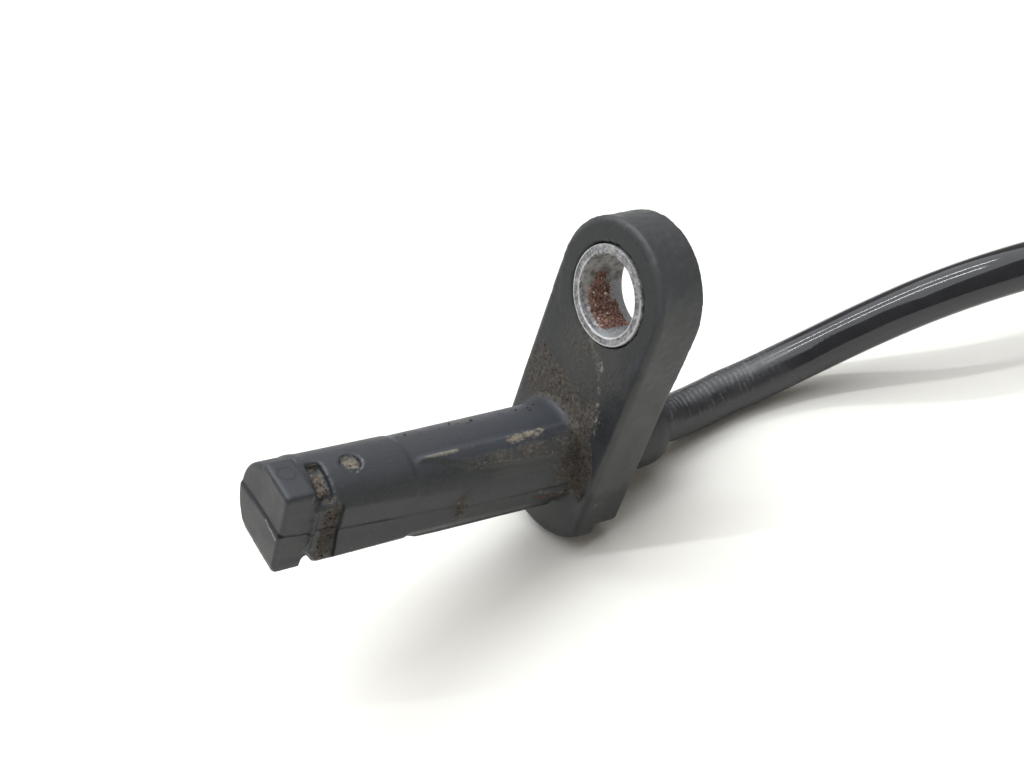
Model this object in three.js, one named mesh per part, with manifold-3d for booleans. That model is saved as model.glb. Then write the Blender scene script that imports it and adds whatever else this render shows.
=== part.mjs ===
// Wheel speed sensor: a moulded head with a bolt flange, a steel bushing, the sensing parts inside,
// and a moulded-in lead that ends in a two-way connector. Millimetres, z up, the table is z = 0.
// The sensor lies as it comes to rest, on the foot of its flange and on its lead.
import * as THREE from 'three';
import { mergeVertices, toCreasedNormals } from 'three/addons/utils/BufferGeometryUtils.js';
import Module from 'manifold-3d';

const wasm = await Module();
wasm.setup();

// Clearances and mesh fineness
const fitGap = 0.3;
const weldDistance = 0.0001;
const creaseAngle = 0.6;
const roundSteps = 48;
const smallSteps = 24;
const overcut = 2;

// Head: it lies along x with its tip towards -x, and the flange's seat face is x = 0
const headLength = 34.4;
const noseRadius = 5.2;
const shankRadius = 5.08;
const rootRadius = 5.42;
const rootFillet = 1.0;
const noseEnd = 20.3;

// Tip block: flats on the near side (-y), below and on top, round on the far side
const tipBlockBack = 31.3;
const tipSideFlat = 3.7;
const tipBottomFlat = 4.5;
const tipTopFlat = 5.3;
const tipRadius = 5.1;
const tipCorner = 0.6;
const tipEdge = 0.25;
const tipArcFrom = -40;
const tipArcTo = 68;

// Groove behind the tip block
const grooveFloor = 4.4;
const grooveSideFloor = 3.75;
const grooveSideFront = 31.0;
const grooveSideBack = 28.6;
const grooveTopFront = 30.8;
const grooveTopBack = 29.2;
const grooveTopFrom = 46;
const grooveTopTo = 96;
const notchFront = 31.6;
const notchApex = 31.1;
const notchBack = 29.7;
const notchFrom = -125;
const notchTo = -55;

// Flat on the near side of the nose, deeper towards the tip
const flatEnd = 14.7;
const flatFrontAt = 28.6;
const flatFrontDepth = 4.24;
const flatRearDepth = 4.7;

// Locating dimple on top of the nose
const dimpleAt = 26.2;
const dimpleAngle = 86;
const dimpleDiameter = 2.1;
const dimpleDepth = 1.0;

// Crush keys that wedge the head in its bore
const keyCount = 3;
const keyFirstAngle = 70;
const keyTipAt = 19.6;
const keyCrestAt = 18.4;
const keyHeight = 0.38;
const keyHalfWidth = 5;
const keyChamfer = 4;
const keySpreadMiddleAt = 13.8;
const keySpreadMiddle = 20;
const keySpreadRoot = 30;

// Bolt flange
const flangeThickness = 5.65;
const flangeHalfWidth = 7.75;
const boltOffset = 20.6;
const footRadius = 9.9;
const footStep = 0.8;
const footLipDepth = 2.8;
const flangeEdge = 0.3;

// Mounting bushing, with a groove that the moulding grips
const bushingDiameter = 10.5;
const bushingWall = 1.0;
const bushingFront = 0.185;
const bushingBack = 0.2;
const bushingChamfer = 0.4;
const bushingGrooveDepth = 0.4;
const bushingGrooveWidth = 1.5;

// Rear boss that the lead leaves
const bossRadius = 4.8;
const bossBandAt = 11.5;
const bossBandRadius = 4.68;
const bossEnd = 14.6;
const bossEndRadius = 3.55;

// Lead
const cableDiameter = 5.5;
const coreDiameter = 1.6;
const coreSpacing = 2.2;
const stripDiameter = 0.9;

// Hollow inside the head
const tipWall = 0.8;
const cavityHalfWidth = 3.1;
const cavityHalfHeight = 2.8;
const cavityRadius = 3.75;
const carrierEnd = 12.6;
const chamberRadius = 3.7;
const chamberEnd = 5.7;

// Sensing chip, its legs, the magnet and the capacitor
const chipWidth = 4.1;
const chipHeight = 3.3;
const chipThickness = 1.0;
const chipTop = 0.9;
const legSpacing = 2.9;
const legWidth = 0.6;
const legThickness = 0.4;
const legHeight = 1.6;
const legEnd = 9.9;
const carrierWeb = 0.4;
const magnetLength = 2.8;
const magnetWidth = 4.0;
const magnetHeight = 2.7;
const capacitorAt = 21.4;
const capacitorLength = 1.7;
const capacitorThickness = 0.8;

// Splice crimps
const crimpFront = 11.9;
const crimpLength = 5.0;
const crimpBore = 1.5;
const crimpWall = 0.3;
const crimpCoreEntry = 2.3;

// Lying pose
const tipRaise = 24;
const rollAngle = 14;

// Coil of spare lead: turns two wide and two high, with a tie round them
const coilX = 114.4;
const coilY = -23.9;
const coilMiddleRadius = 27.5;
const coilTurnsAcross = 2;
const tieThickness = 0.8;
const tieWidth = 4.2;
const tieAngle = -60;
const tieHeadSize = 4.6;
const tieHeadWidth = 5.2;
const tieHeadHeight = 2.4;

// Connector: it lies on the coil with its mouth towards -y
const connectorX = 94.4;
const connectorY = -30.7;
const shellLength = 26;
const shellWidth = 17;
const shellHeight = 12;
const shellCorner = 2.4;
const shellWall = 1.8;
const mouthDepth = 17;
const webThickness = 4;
const coreRoomWidth = 10.6;
const coreRoomHeight = 6.8;
const mouthRim = 1.6;
const mouthRimHeight = 0.7;
const latchWidth = 5.0;
const latchHeight = 1.4;
const latchLength = 4.5;
const latchFromMouth = 6.5;
const ribCount = 3;
const ribSpacing = 3.2;
const ribHeight = 0.5;
const ribWidth = 1.2;
const ribFromBack = 2.4;
const bladeWidth = 2.8;
const bladeThickness = 0.8;
const bladeSpacing = 5.0;
const bladeSetback = 5.6;
const bladeTaper = 1.4;
const barrelWidth = 2.4;
const barrelHeight = 2.2;
const barrelLength = 4.1;
const lockThickness = 1.5;
const sealWall = 1.5;
const sealLength = 2.0;
const bootLength = 14;
const bootLargeRadius = 4.7;
const bootSmallRadius = 3.7;
const bootRingCount = 4;
const bootRingDepth = 0.5;

// Route of the lead from inside the boss to the coil, and from the coil over its top into the
// connector boot. Points are x and y from the flange's seat on the head axis, and z from the table.
const leadRoute = [
  [5.48, 0, 8.05], [9.4, 0, 6.31], [13.34, 0, 4.56], [16.9, -0.1, 3.4], [20.5, -0.5, 2.9],
  [24.1, -1.1, 2.8], [27.7, -2.3, 3.0], [34.2, -5.5, 4.7], [39.8, -9.6, 7.4], [45.2, -14.0, 10.0],
  [51.2, -18.0, 11.4], [57.8, -21.5, 11.5], [64.2, -25.1, 10.6], [70.6, -29.3, 8.9],
  [77.0, -33.9, 6.8], [83.5, -38.6, 4.9], [90.0, -43.4, 4.0], [96.6, -48.4, 3.85],
];
const tailRoute = [
  [137.6, -43.3, 9.35], [141.4, -36.5, 10.2], [142.8, -28.9, 12.2], [142.2, -21.5, 14.1],
  [140.2, -14.5, 15.2], [136.1, -7.0, 15.2], [129.8, -1.1, 15.2], [122.0, 2.5, 15.4],
  [114.4, 3.6, 15.8], [106.7, 2.1, 16.4], [100.3, -2.3, 17.2], [95.9, -8.7, 18.0],
  [94.4, -16.4, 18.4], [94.4, -22.0, 18.4], [94.4, -28.4, 18.4],
];

// Worked-out sizes
const radians = THREE.MathUtils.degToRad;
const cableRadius = cableDiameter / 2;
const cableBoreRadius = cableRadius + fitGap;
const bushingBore = bushingDiameter - 2 * bushingWall;
const carrierHalfWidth = cavityHalfWidth - fitGap;
const carrierHalfHeight = cavityHalfHeight - fitGap;
const cavityFront = headLength - tipWall;
const carrierFront = cavityFront - fitGap;
const chipBack = carrierFront - chipThickness;
const magnetFront = chipBack - 2 * fitGap - carrierWeb;
const magnetTop = chipTop - fitGap;
const crimpRadius = crimpBore / 2 + crimpWall;
const coilSection = coilTurnsAcross * cableDiameter;
const coilLift = tieThickness + fitGap;
const shellAxisHeight = coilLift + coilSection + fitGap + shellHeight / 2;
const coreEnd = shellLength - mouthDepth - webThickness;
const mouthBottom = shellLength - mouthDepth;

// Materials
function finish(color, roughness, metalness) {
  return new THREE.MeshStandardMaterial({ color, roughness, metalness });
}
const darkPlastic = finish('#3a3b3e', 0.52, 0);
const zincSteel = finish('#8d8b87', 0.42, 0.9);
const tanPlastic = finish('#8f7f63', 0.6, 0);
const chipBlack = finish('#1d1d1f', 0.5, 0);
const magnetGrey = finish('#5c5d60', 0.35, 0.8);
const tinnedCopper = finish('#b9b4a6', 0.35, 0.9);
const ceramic = finish('#a58763', 0.55, 0);
const coreBlue = finish('#2f4d86', 0.5, 0);
const coreBrown = finish('#6b4429', 0.5, 0);
const jacketBlack = finish('#17181a', 0.42, 0);
const tieBlack = finish('#202123', 0.55, 0);
const shellBlack = finish('#232427', 0.55, 0);
const sealOrange = finish('#a3532a', 0.6, 0);
const lockGrey = finish('#77797c', 0.55, 0);

// Solids from closed geometry: corners welded, flat triangles dropped, faces turned outwards
function solid(geometry) {
  const bare = geometry.index ? geometry.toNonIndexed() : geometry.clone();
  bare.deleteAttribute('normal');
  bare.deleteAttribute('uv');
  const welded = mergeVertices(bare, weldDistance);
  const places = welded.attributes.position.array;
  const corners = welded.index.array;
  const kept = [];
  const a = new THREE.Vector3();
  const b = new THREE.Vector3();
  const c = new THREE.Vector3();
  let volume = 0;
  for (let i = 0; i < corners.length; i += 3) {
    const [p, q, r] = [corners[i], corners[i + 1], corners[i + 2]];
    if (p === q || q === r || r === p) continue;
    kept.push([p, q, r]);
    a.fromArray(places, 3 * p);
    b.fromArray(places, 3 * q);
    c.fromArray(places, 3 * r);
    volume += a.dot(b.cross(c));
  }
  const outward = volume > 0 ? kept : kept.map(([p, q, r]) => [p, r, q]);
  return new wasm.Manifold(new wasm.Mesh({
    numProp: 3,
    vertProperties: Float32Array.from(places),
    triVerts: Uint32Array.from(outward.flat()),
  }));
}

function piece(name, body, material) {
  const { vertProperties, triVerts, numProp } = body.getMesh();
  const places = [];
  for (let i = 0; i < vertProperties.length; i += numProp) {
    places.push(vertProperties[i], vertProperties[i + 1], vertProperties[i + 2]);
  }
  const geometry = new THREE.BufferGeometry();
  geometry.setAttribute('position', new THREE.Float32BufferAttribute(places, 3));
  geometry.setIndex(Array.from(triVerts));
  const mesh = new THREE.Mesh(toCreasedNormals(geometry, creaseAngle), material);
  mesh.name = name;
  return mesh;
}

// Geometry whose own x, y, z become y, z, x: sections drawn in (y, z) run along x
function alongX(geometry, x = 0, y = 0, z = 0) {
  const turn = new THREE.Matrix4().makeBasis(
    new THREE.Vector3(0, 1, 0), new THREE.Vector3(0, 0, 1), new THREE.Vector3(1, 0, 0));
  return geometry.applyMatrix4(turn.setPosition(x, y, z));
}

// Solid of revolution about x, from a profile of [x, radius] points
function turned(profile, steps = roundSteps, y = 0, z = 0) {
  const points = profile.map(([x, radius]) => new THREE.Vector2(radius, x));
  const turn = new THREE.Matrix4().makeBasis(
    new THREE.Vector3(0, 0, 1), new THREE.Vector3(1, 0, 0), new THREE.Vector3(0, 1, 0));
  return solid(new THREE.LatheGeometry(points, steps).applyMatrix4(turn.setPosition(0, y, z)));
}

function rod(x0, x1, radius, steps = smallSteps, y = 0, z = 0) {
  return turned([[x0, 0], [x0, radius], [x1, radius], [x1, 0]], steps, y, z);
}

function block(x0, x1, y0, y1, z0, z1) {
  const geometry = new THREE.BoxGeometry(x1 - x0, y1 - y0, z1 - z0);
  return solid(geometry.translate((x0 + x1) / 2, (y0 + y1) / 2, (z0 + z1) / 2));
}

// Section in (y, z) run from x0 to x1, with an optional bevel that stays inside the outline
function run(shape, x0, x1, bevel = 0, curveSegments = 16) {
  const geometry = new THREE.ExtrudeGeometry(shape, {
    depth: x1 - x0 - 2 * bevel,
    bevelEnabled: bevel > 0,
    bevelThickness: bevel,
    bevelSize: bevel,
    bevelOffset: -bevel,
    bevelSegments: 1,
    curveSegments,
  });
  return solid(alongX(geometry, x0 + bevel));
}

function roundedRectangle(width, height, corner) {
  const [w, h] = [width / 2, height / 2];
  const shape = new THREE.Shape();
  shape.moveTo(-w + corner, -h);
  shape.lineTo(w - corner, -h);
  shape.absarc(w - corner, -h + corner, corner, -Math.PI / 2, 0);
  shape.lineTo(w, h - corner);
  shape.absarc(w - corner, h - corner, corner, 0, Math.PI / 2);
  shape.lineTo(-w + corner, h);
  shape.absarc(-w + corner, h - corner, corner, Math.PI / 2, Math.PI);
  shape.lineTo(-w, -h + corner);
  shape.absarc(-w + corner, -h + corner, corner, Math.PI, 1.5 * Math.PI);
  return shape;
}

// Angles round the head are measured from the near side (-y) up towards the bolt (+z)
function onHead(x, radius, degrees) {
  const angle = radians(degrees);
  return [x, -radius * Math.cos(angle), radius * Math.sin(angle)];
}

// Sector of the head between two angles, used to keep a ring cut to its own stretch
function sector(x0, x1, fromDegrees, toDegrees) {
  const reach = 3 * noseRadius;
  const shape = new THREE.Shape();
  shape.moveTo(0, 0);
  const steps = 6;
  for (let i = 0; i <= steps; i += 1) {
    const [, y, z] = onHead(0, reach, fromDegrees + (toDegrees - fromDegrees) * i / steps);
    shape.lineTo(y, z);
  }
  return run(shape, x0, x1);
}

// Solid skinned over closed loops of equal count, one loop a station, with flat ends
function skinned(stations) {
  const count = stations[0].length;
  const index = [];
  for (let s = 0; s + 1 < stations.length; s += 1) {
    for (let i = 0; i < count; i += 1) {
      const a = s * count + i;
      const b = s * count + (i + 1) % count;
      index.push(a, b, b + count, a, b + count, a + count);
    }
  }
  const last = (stations.length - 1) * count;
  for (let i = 1; i + 1 < count; i += 1) {
    index.push(0, i + 1, i);
    index.push(last, last + i, last + i + 1);
  }
  const geometry = new THREE.BufferGeometry();
  geometry.setAttribute('position', new THREE.Float32BufferAttribute(stations.flat(2), 3));
  geometry.setIndex(index);
  return solid(geometry);
}

function routeCurve(points) {
  return new THREE.CatmullRomCurve3(points.map(([x, y, z]) => new THREE.Vector3(x, y, z)));
}

// Round tube along a curve, with a step every so many diameters
function tube(curve, radius, sides, stepLength) {
  const section = new THREE.Shape();
  for (let i = 0; i < sides; i += 1) {
    const angle = 2 * Math.PI * i / sides;
    const place = [radius * Math.cos(angle), radius * Math.sin(angle)];
    if (i === 0) section.moveTo(...place);
    else section.lineTo(...place);
  }
  section.closePath();
  const steps = Math.ceil(curve.getLength() / stepLength);
  return solid(new THREE.ExtrudeGeometry(section, { steps, extrudePath: curve, bevelEnabled: false }));
}

// Housing: tip block
function tipBlock() {
  const arcFrom = radians(tipArcFrom);
  const arcTo = radians(tipArcTo);
  const lowSide = tipRadius * Math.cos(arcFrom);
  const shape = new THREE.Shape();
  shape.moveTo(-tipSideFlat + tipCorner, -tipBottomFlat);
  shape.lineTo(lowSide - 1.5 * tipCorner, -tipBottomFlat);
  shape.lineTo(lowSide, tipRadius * Math.sin(arcFrom));
  shape.absarc(0, 0, tipRadius, arcFrom, arcTo);
  shape.lineTo(tipRadius * Math.cos(arcTo) - tipCorner / 2, tipTopFlat);
  shape.lineTo(-tipSideFlat + tipCorner, tipTopFlat);
  shape.absarc(-tipSideFlat + tipCorner, tipTopFlat - tipCorner, tipCorner, Math.PI / 2, Math.PI);
  shape.lineTo(-tipSideFlat, -tipBottomFlat + tipCorner);
  shape.absarc(-tipSideFlat + tipCorner, -tipBottomFlat + tipCorner, tipCorner, Math.PI, 1.5 * Math.PI);
  return run(shape, -headLength, -tipBlockBack, tipEdge);
}

// Housing: round nose and shank, with the fillet into the flange
function headBarrel() {
  const profile = [[-tipBlockBack - tipEdge, 0], [-tipBlockBack - tipEdge, grooveFloor]];
  profile.push([-tipBlockBack, grooveFloor], [-tipBlockBack, noseRadius], [-noseEnd, noseRadius]);
  profile.push([-noseEnd, shankRadius], [-rootFillet, rootRadius]);
  const filletSteps = 5;
  for (let i = 1; i <= filletSteps; i += 1) {
    const angle = Math.PI / 2 * i / filletSteps;
    profile.push([
      -rootFillet + rootFillet * Math.sin(angle),
      rootRadius + rootFillet - rootFillet * Math.cos(angle),
    ]);
  }
  profile.push([flangeEdge, rootRadius + rootFillet], [flangeEdge, 0]);
  return turned(profile);
}

// Housing: one crush key, a low band that spreads to one side towards the flange
function crushKey(middleDegrees) {
  const stations = [
    [keyTipAt, 0, 0],
    [keyCrestAt, keyHeight, 0],
    [keySpreadMiddleAt, keyHeight, keySpreadMiddle],
    [0, keyHeight, keySpreadRoot],
  ];
  const inside = shankRadius - 2 * keyHeight;
  return skinned(stations.map(([back, height, spread]) => {
    const skin = shankRadius + (rootRadius - shankRadius) * (1 - back / noseEnd);
    const high = middleDegrees + keyHalfWidth;
    const low = middleDegrees - keyHalfWidth - spread;
    const flatLow = low + keyChamfer;
    const flatHigh = high - keyChamfer;
    return [
      onHead(-back, inside, low),
      onHead(-back, skin, low),
      onHead(-back, skin + height, flatLow),
      onHead(-back, skin + height, (2 * flatLow + flatHigh) / 3),
      onHead(-back, skin + height, (flatLow + 2 * flatHigh) / 3),
      onHead(-back, skin + height, flatHigh),
      onHead(-back, skin, high),
      onHead(-back, inside, high),
    ];
  }));
}

// Housing: flange plate, round over the bolt, with a foot that steps in behind
function flangeOutline(lowRadius) {
  const cornerAngle = Math.acos(flangeHalfWidth / lowRadius);
  const shape = new THREE.Shape();
  shape.absarc(0, boltOffset, flangeHalfWidth, 0, Math.PI);
  shape.absarc(0, 0, lowRadius, Math.PI + cornerAngle, 2 * Math.PI - cornerAngle);
  return shape;
}

function flange() {
  const plate = run(flangeOutline(footRadius - footStep), 0, flangeThickness, flangeEdge, roundSteps / 2);
  const lip = run(flangeOutline(footRadius), 0, footLipDepth, flangeEdge, roundSteps / 2);
  const lowHalf = block(-1, footLipDepth + 1, -footRadius, footRadius, -footRadius - 1, 0);
  return plate.add(lip.intersect(lowHalf));
}

// Housing: rear boss round the lead
function rearBoss() {
  const profile = [[flangeEdge, 0], [flangeEdge, bossRadius], [flangeThickness + 1, bossRadius]];
  profile.push([bossBandAt, bossBandRadius]);
  const noseSteps = 5;
  for (let i = 1; i <= noseSteps; i += 1) {
    const angle = Math.PI / 2 * i / noseSteps;
    profile.push([
      bossBandAt + (bossEnd - bossBandAt) * Math.sin(angle),
      bossEndRadius + (bossBandRadius - bossEndRadius) * Math.cos(angle),
    ]);
  }
  profile.push([bossEnd, 0]);
  return turned(profile);
}

// Groove behind the tip block: a band across the near side, a pocket on top and a notch below
function grooveCuts() {
  const outer = noseRadius + overcut;
  const ring = (profile, from, to) => {
    const whole = turned([...profile, profile[0]]);
    return whole.intersect(sector(-headLength, -noseEnd, from, to));
  };
  const side = block(-grooveSideFront, -grooveSideBack, -outer, -grooveSideFloor, -outer,
    grooveFloor * Math.sin(radians(grooveTopFrom)));
  const top = ring([
    [-grooveTopFront, grooveFloor], [-grooveTopBack, grooveFloor],
    [-grooveTopBack, outer], [-grooveTopFront, outer],
  ], grooveTopFrom, grooveTopTo);
  const notch = ring([
    [-notchApex, grooveFloor], [-notchBack, noseRadius], [-notchBack, outer], [-notchFront, outer],
    [-notchFront, noseRadius],
  ], notchFrom, notchTo);
  return side.add(top).add(notch);
}

// Flat on the near side of the nose: a wedge cut that ends in a step
function flatCut() {
  const slope = (flatRearDepth - flatFrontDepth) / (flatFrontAt - flatEnd);
  const frontDepth = flatRearDepth - slope * (tipBlockBack - flatEnd);
  const outer = noseRadius + overcut;
  const halfHeight = noseRadius;
  const corners = (z) => [
    [-tipBlockBack, -frontDepth, z],
    [-flatEnd, -flatRearDepth, z],
    [-flatEnd, -outer, z],
    [-tipBlockBack, -outer, z],
  ];
  return skinned([corners(-halfHeight), corners(halfHeight)]);
}

function dimpleCut() {
  const reach = noseRadius + overcut;
  const drill = rod(noseRadius - dimpleDepth, reach, dimpleDiameter / 2);
  const angle = 180 - dimpleAngle;
  return drill.rotate([0, -90, 0]).rotate([angle - 90, 0, 0]).translate([-dimpleAt, 0, 0]);
}

// Bushing outline, grown by a gap where the housing grips it
function bushingProfile(gap, front, back) {
  const outer = bushingDiameter / 2 + gap;
  const grooved = outer - bushingGrooveDepth;
  const middle = flangeThickness / 2;
  const halfGroove = bushingGrooveWidth / 2 - gap;
  return [
    [front, 0], [front, outer], [middle - halfGroove, outer],
    [middle - halfGroove, grooved], [middle + halfGroove, grooved],
    [middle + halfGroove, outer], [back, outer], [back, 0],
  ];
}

function hollow() {
  const box = block(-cavityFront, -carrierEnd + fitGap, -cavityHalfWidth, cavityHalfWidth,
    -cavityHalfHeight, cavityHalfHeight);
  const carrierRoom = box.intersect(rod(-headLength, 0, cavityRadius, roundSteps));
  const chamber = rod(-carrierEnd, chamberEnd, chamberRadius, roundSteps);
  const leadBore = rod(chamberEnd - fitGap, bossEnd + overcut, cableBoreRadius, roundSteps);
  return carrierRoom.add(chamber).add(leadBore);
}

function housing() {
  let body = headBarrel().subtract(flatCut()).add(tipBlock()).subtract(grooveCuts());
  for (let i = 0; i < keyCount; i += 1) {
    body = body.add(crushKey(keyFirstAngle - 360 * i / keyCount));
  }
  const bushingSeat = turned(bushingProfile(fitGap, -overcut, flangeThickness + overcut),
    roundSteps, 0, boltOffset);
  body = body.add(flange()).add(rearBoss());
  return body.subtract(dimpleCut()).subtract(bushingSeat).subtract(hollow());
}

function mountingBushing() {
  const back = flangeThickness + bushingBack;
  const outer = turned(bushingProfile(0, -bushingFront, back), roundSteps, 0, boltOffset);
  const bore = rod(-overcut, back + overcut, bushingBore / 2, roundSteps, 0, boltOffset);
  const halfBore = bushingBore / 2;
  const bevel = bushingChamfer;
  const sink = (face, inward) => turned([
    [face - inward * overcut, 0], [face - inward * overcut, halfBore + bevel],
    [face, halfBore + bevel], [face + inward * bevel, halfBore], [face + inward * bevel, 0],
  ], roundSteps, 0, boltOffset);
  return outer.subtract(bore).subtract(sink(-bushingFront, 1)).subtract(sink(back, -1));
}

// Inside the head
function elementCarrier() {
  const halfLegs = legSpacing / 2;
  const channel = legWidth / 2 + fitGap;
  const channelFloor = legHeight - legThickness / 2 - fitGap;
  const top = carrierHalfHeight + overcut;
  const chipHalf = chipWidth / 2 + fitGap;
  const magnetHalf = magnetWidth / 2 + fitGap;
  const magnetBack = magnetFront - magnetLength;
  const capHalf = capacitorThickness / 2 + fitGap;
  const box = block(-carrierFront, -carrierEnd, -carrierHalfWidth, carrierHalfWidth,
    -carrierHalfHeight, carrierHalfHeight);
  let body = box.intersect(rod(-headLength, 0, cavityRadius - fitGap, roundSteps));
  body = body.subtract(block(-carrierFront - 1, -chipBack + fitGap, -chipHalf, chipHalf, -top, top));
  body = body.subtract(block(-magnetFront - fitGap, -magnetBack + fitGap, -magnetHalf, magnetHalf,
    -top, magnetTop + fitGap));
  for (const side of [-1, 1]) {
    const y = side * halfLegs;
    body = body.subtract(block(-headLength, 0, y - channel, y + channel, channelFloor, top));
  }
  return body.subtract(block(-capacitorAt - capHalf, -capacitorAt + capHalf, -halfLegs, halfLegs,
    channelFloor, top));
}

function chipLeg(side) {
  const y = side * legSpacing / 2;
  const half = legWidth / 2;
  const chipMiddle = carrierFront - chipThickness / 2;
  const low = legHeight - legThickness / 2;
  const front = chipMiddle + legThickness / 2;
  const strip = block(-front, -legEnd, y - half, y + half, low, low + legThickness);
  const foot = block(-front, -front + legThickness, y - half, y + half, chipTop + fitGap, legHeight);
  return strip.add(foot);
}

function spliceCrimp(side) {
  const [y, z] = [side * legSpacing / 2, legHeight];
  const rear = -crimpFront + crimpLength;
  const barrel = rod(-crimpFront, rear, crimpRadius, smallSteps, y, z);
  return barrel.subtract(rod(-crimpFront - 1, rear + 1, crimpBore / 2, smallSteps, y, z));
}

function coreWire(side) {
  const start = new THREE.Vector3(-crimpFront + crimpLength, side * legSpacing / 2, legHeight);
  const end = new THREE.Vector3(chamberEnd - fitGap, side * coreSpacing / 2, 0);
  const bend = new THREE.Vector3((end.x - start.x) / 3, 0, 0);
  start.x += fitGap;
  const curve = new THREE.CubicBezierCurve3(
    start, start.clone().add(bend), end.clone().sub(bend), end);
  const sleeve = tube(curve, coreDiameter / 2, 12, coreDiameter);
  const bare = rod(-crimpFront + crimpLength - crimpCoreEntry, start.x + coreDiameter / 2,
    stripDiameter / 2, 12, start.y, start.z);
  return sleeve.add(bare);
}

function sensorPieces() {
  const chipHalf = chipWidth / 2;
  const magnetHalf = magnetWidth / 2;
  const capHalf = capacitorThickness / 2;
  const capLow = legHeight - legThickness / 2;
  const capReach = Math.min(capacitorLength / 2, legSpacing / 2 - legWidth / 2 - fitGap);
  return [
    piece('housing', housing(), darkPlastic),
    piece('mounting_bushing', mountingBushing(), zincSteel),
    piece('element_carrier', elementCarrier(), tanPlastic),
    piece('sensing_chip', block(-carrierFront, -chipBack, -chipHalf, chipHalf,
      chipTop - chipHeight, chipTop), chipBlack),
    piece('bias_magnet', block(-magnetFront, -magnetFront + magnetLength, -magnetHalf, magnetHalf,
      magnetTop - magnetHeight, magnetTop), magnetGrey),
    piece('chip_lead_a', chipLeg(-1), tinnedCopper),
    piece('chip_lead_b', chipLeg(1), tinnedCopper),
    piece('filter_capacitor', block(-capacitorAt - capHalf, -capacitorAt + capHalf, -capReach, capReach,
      capLow, capLow + capacitorThickness), ceramic),
    piece('splice_crimp_a', spliceCrimp(-1), tinnedCopper),
    piece('splice_crimp_b', spliceCrimp(1), tinnedCopper),
    piece('core_wire_a', coreWire(-1), coreBlue),
    piece('core_wire_b', coreWire(1), coreBrown),
  ];
}

// Coil of spare lead, as the ring that its turns fill
function ring(grow) {
  const inner = coilMiddleRadius - coilSection / 2 - grow;
  const outer = coilMiddleRadius + coilSection / 2 + grow;
  const profile = [
    [coilLift - grow, inner], [coilLift - grow, outer], [coilLift + coilSection + grow, outer],
    [coilLift + coilSection + grow, inner], [coilLift - grow, inner],
  ];
  const points = profile.map(([z, radius]) => new THREE.Vector2(radius, z));
  const geometry = new THREE.LatheGeometry(points, roundSteps).rotateX(Math.PI / 2);
  return solid(geometry.translate(coilX, coilY, 0));
}

function coilTie() {
  const clear = coilSection + 2 * fitGap;
  const outer = clear + 2 * tieThickness;
  const band = roundedRectangle(outer, outer, 2 * tieThickness);
  band.holes.push(roundedRectangle(clear, clear, tieThickness));
  const strip = new THREE.ExtrudeGeometry(band, { depth: tieWidth, bevelEnabled: false, curveSegments: 4 });
  const loop = solid(strip.translate(0, outer / 2, -tieWidth / 2).rotateX(Math.PI / 2));
  const headLow = outer - tieThickness;
  const headHalf = tieHeadSize / 2;
  const headSide = tieHeadWidth / 2;
  const head = block(-headHalf, headHalf, -headSide, headSide, headLow, headLow + tieHeadHeight);
  return loop.add(head).translate([coilMiddleRadius, 0, 0]).rotate([0, 0, tieAngle])
    .translate([coilX, coilY, 0]);
}

// Connector pieces, drawn with the mouth towards +x and turned round when they are placed
function connectorShell() {
  const cavityWidth = shellWidth - 2 * shellWall;
  const cavityHeight = shellHeight - 2 * shellWall;
  let body = run(roundedRectangle(shellWidth - 2 * mouthRimHeight, shellHeight - 2 * mouthRimHeight,
    shellCorner), 0, shellLength, 0.3, 5);
  body = body.add(run(roundedRectangle(shellWidth, shellHeight, shellCorner),
    shellLength - mouthRim, shellLength, 0.3, 5));
  body = body.add(run(roundedRectangle(shellWidth, shellHeight, shellCorner), 0, mouthRim, 0.3, 5));
  for (let i = 0; i < ribCount; i += 1) {
    const x = ribFromBack + mouthRim + i * ribSpacing;
    const reach = shellWidth / 2 - mouthRimHeight + ribHeight;
    body = body.add(block(x, x + ribWidth, -reach, reach, -shellHeight / 4, shellHeight / 4));
  }
  const latchBack = shellLength - latchFromMouth - latchLength;
  const top = shellHeight / 2 - mouthRimHeight;
  const wedge = (y) => [
    [latchBack, y, top - 0.5], [latchBack + latchLength, y, top - 0.5],
    [latchBack + latchLength, y, top], [latchBack, y, top + latchHeight],
  ];
  body = body.add(skinned([wedge(-latchWidth / 2), wedge(latchWidth / 2)]));
  body = body.subtract(run(roundedRectangle(cavityWidth - 2 * mouthRimHeight,
    cavityHeight - 2 * mouthRimHeight, shellCorner - shellWall / 2), mouthBottom, shellLength + 1, 0, 5));
  body = body.subtract(block(-1, coreEnd, -coreRoomWidth / 2, coreRoomWidth / 2,
    -coreRoomHeight / 2, coreRoomHeight / 2));
  for (const side of [-1, 1]) {
    const y = side * bladeSpacing / 2;
    const halfWidth = bladeWidth / 2 + fitGap;
    const halfThickness = bladeThickness / 2 + fitGap;
    body = body.subtract(block(0, shellLength, y - halfWidth, y + halfWidth,
      -halfThickness, halfThickness));
  }
  return body;
}

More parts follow.
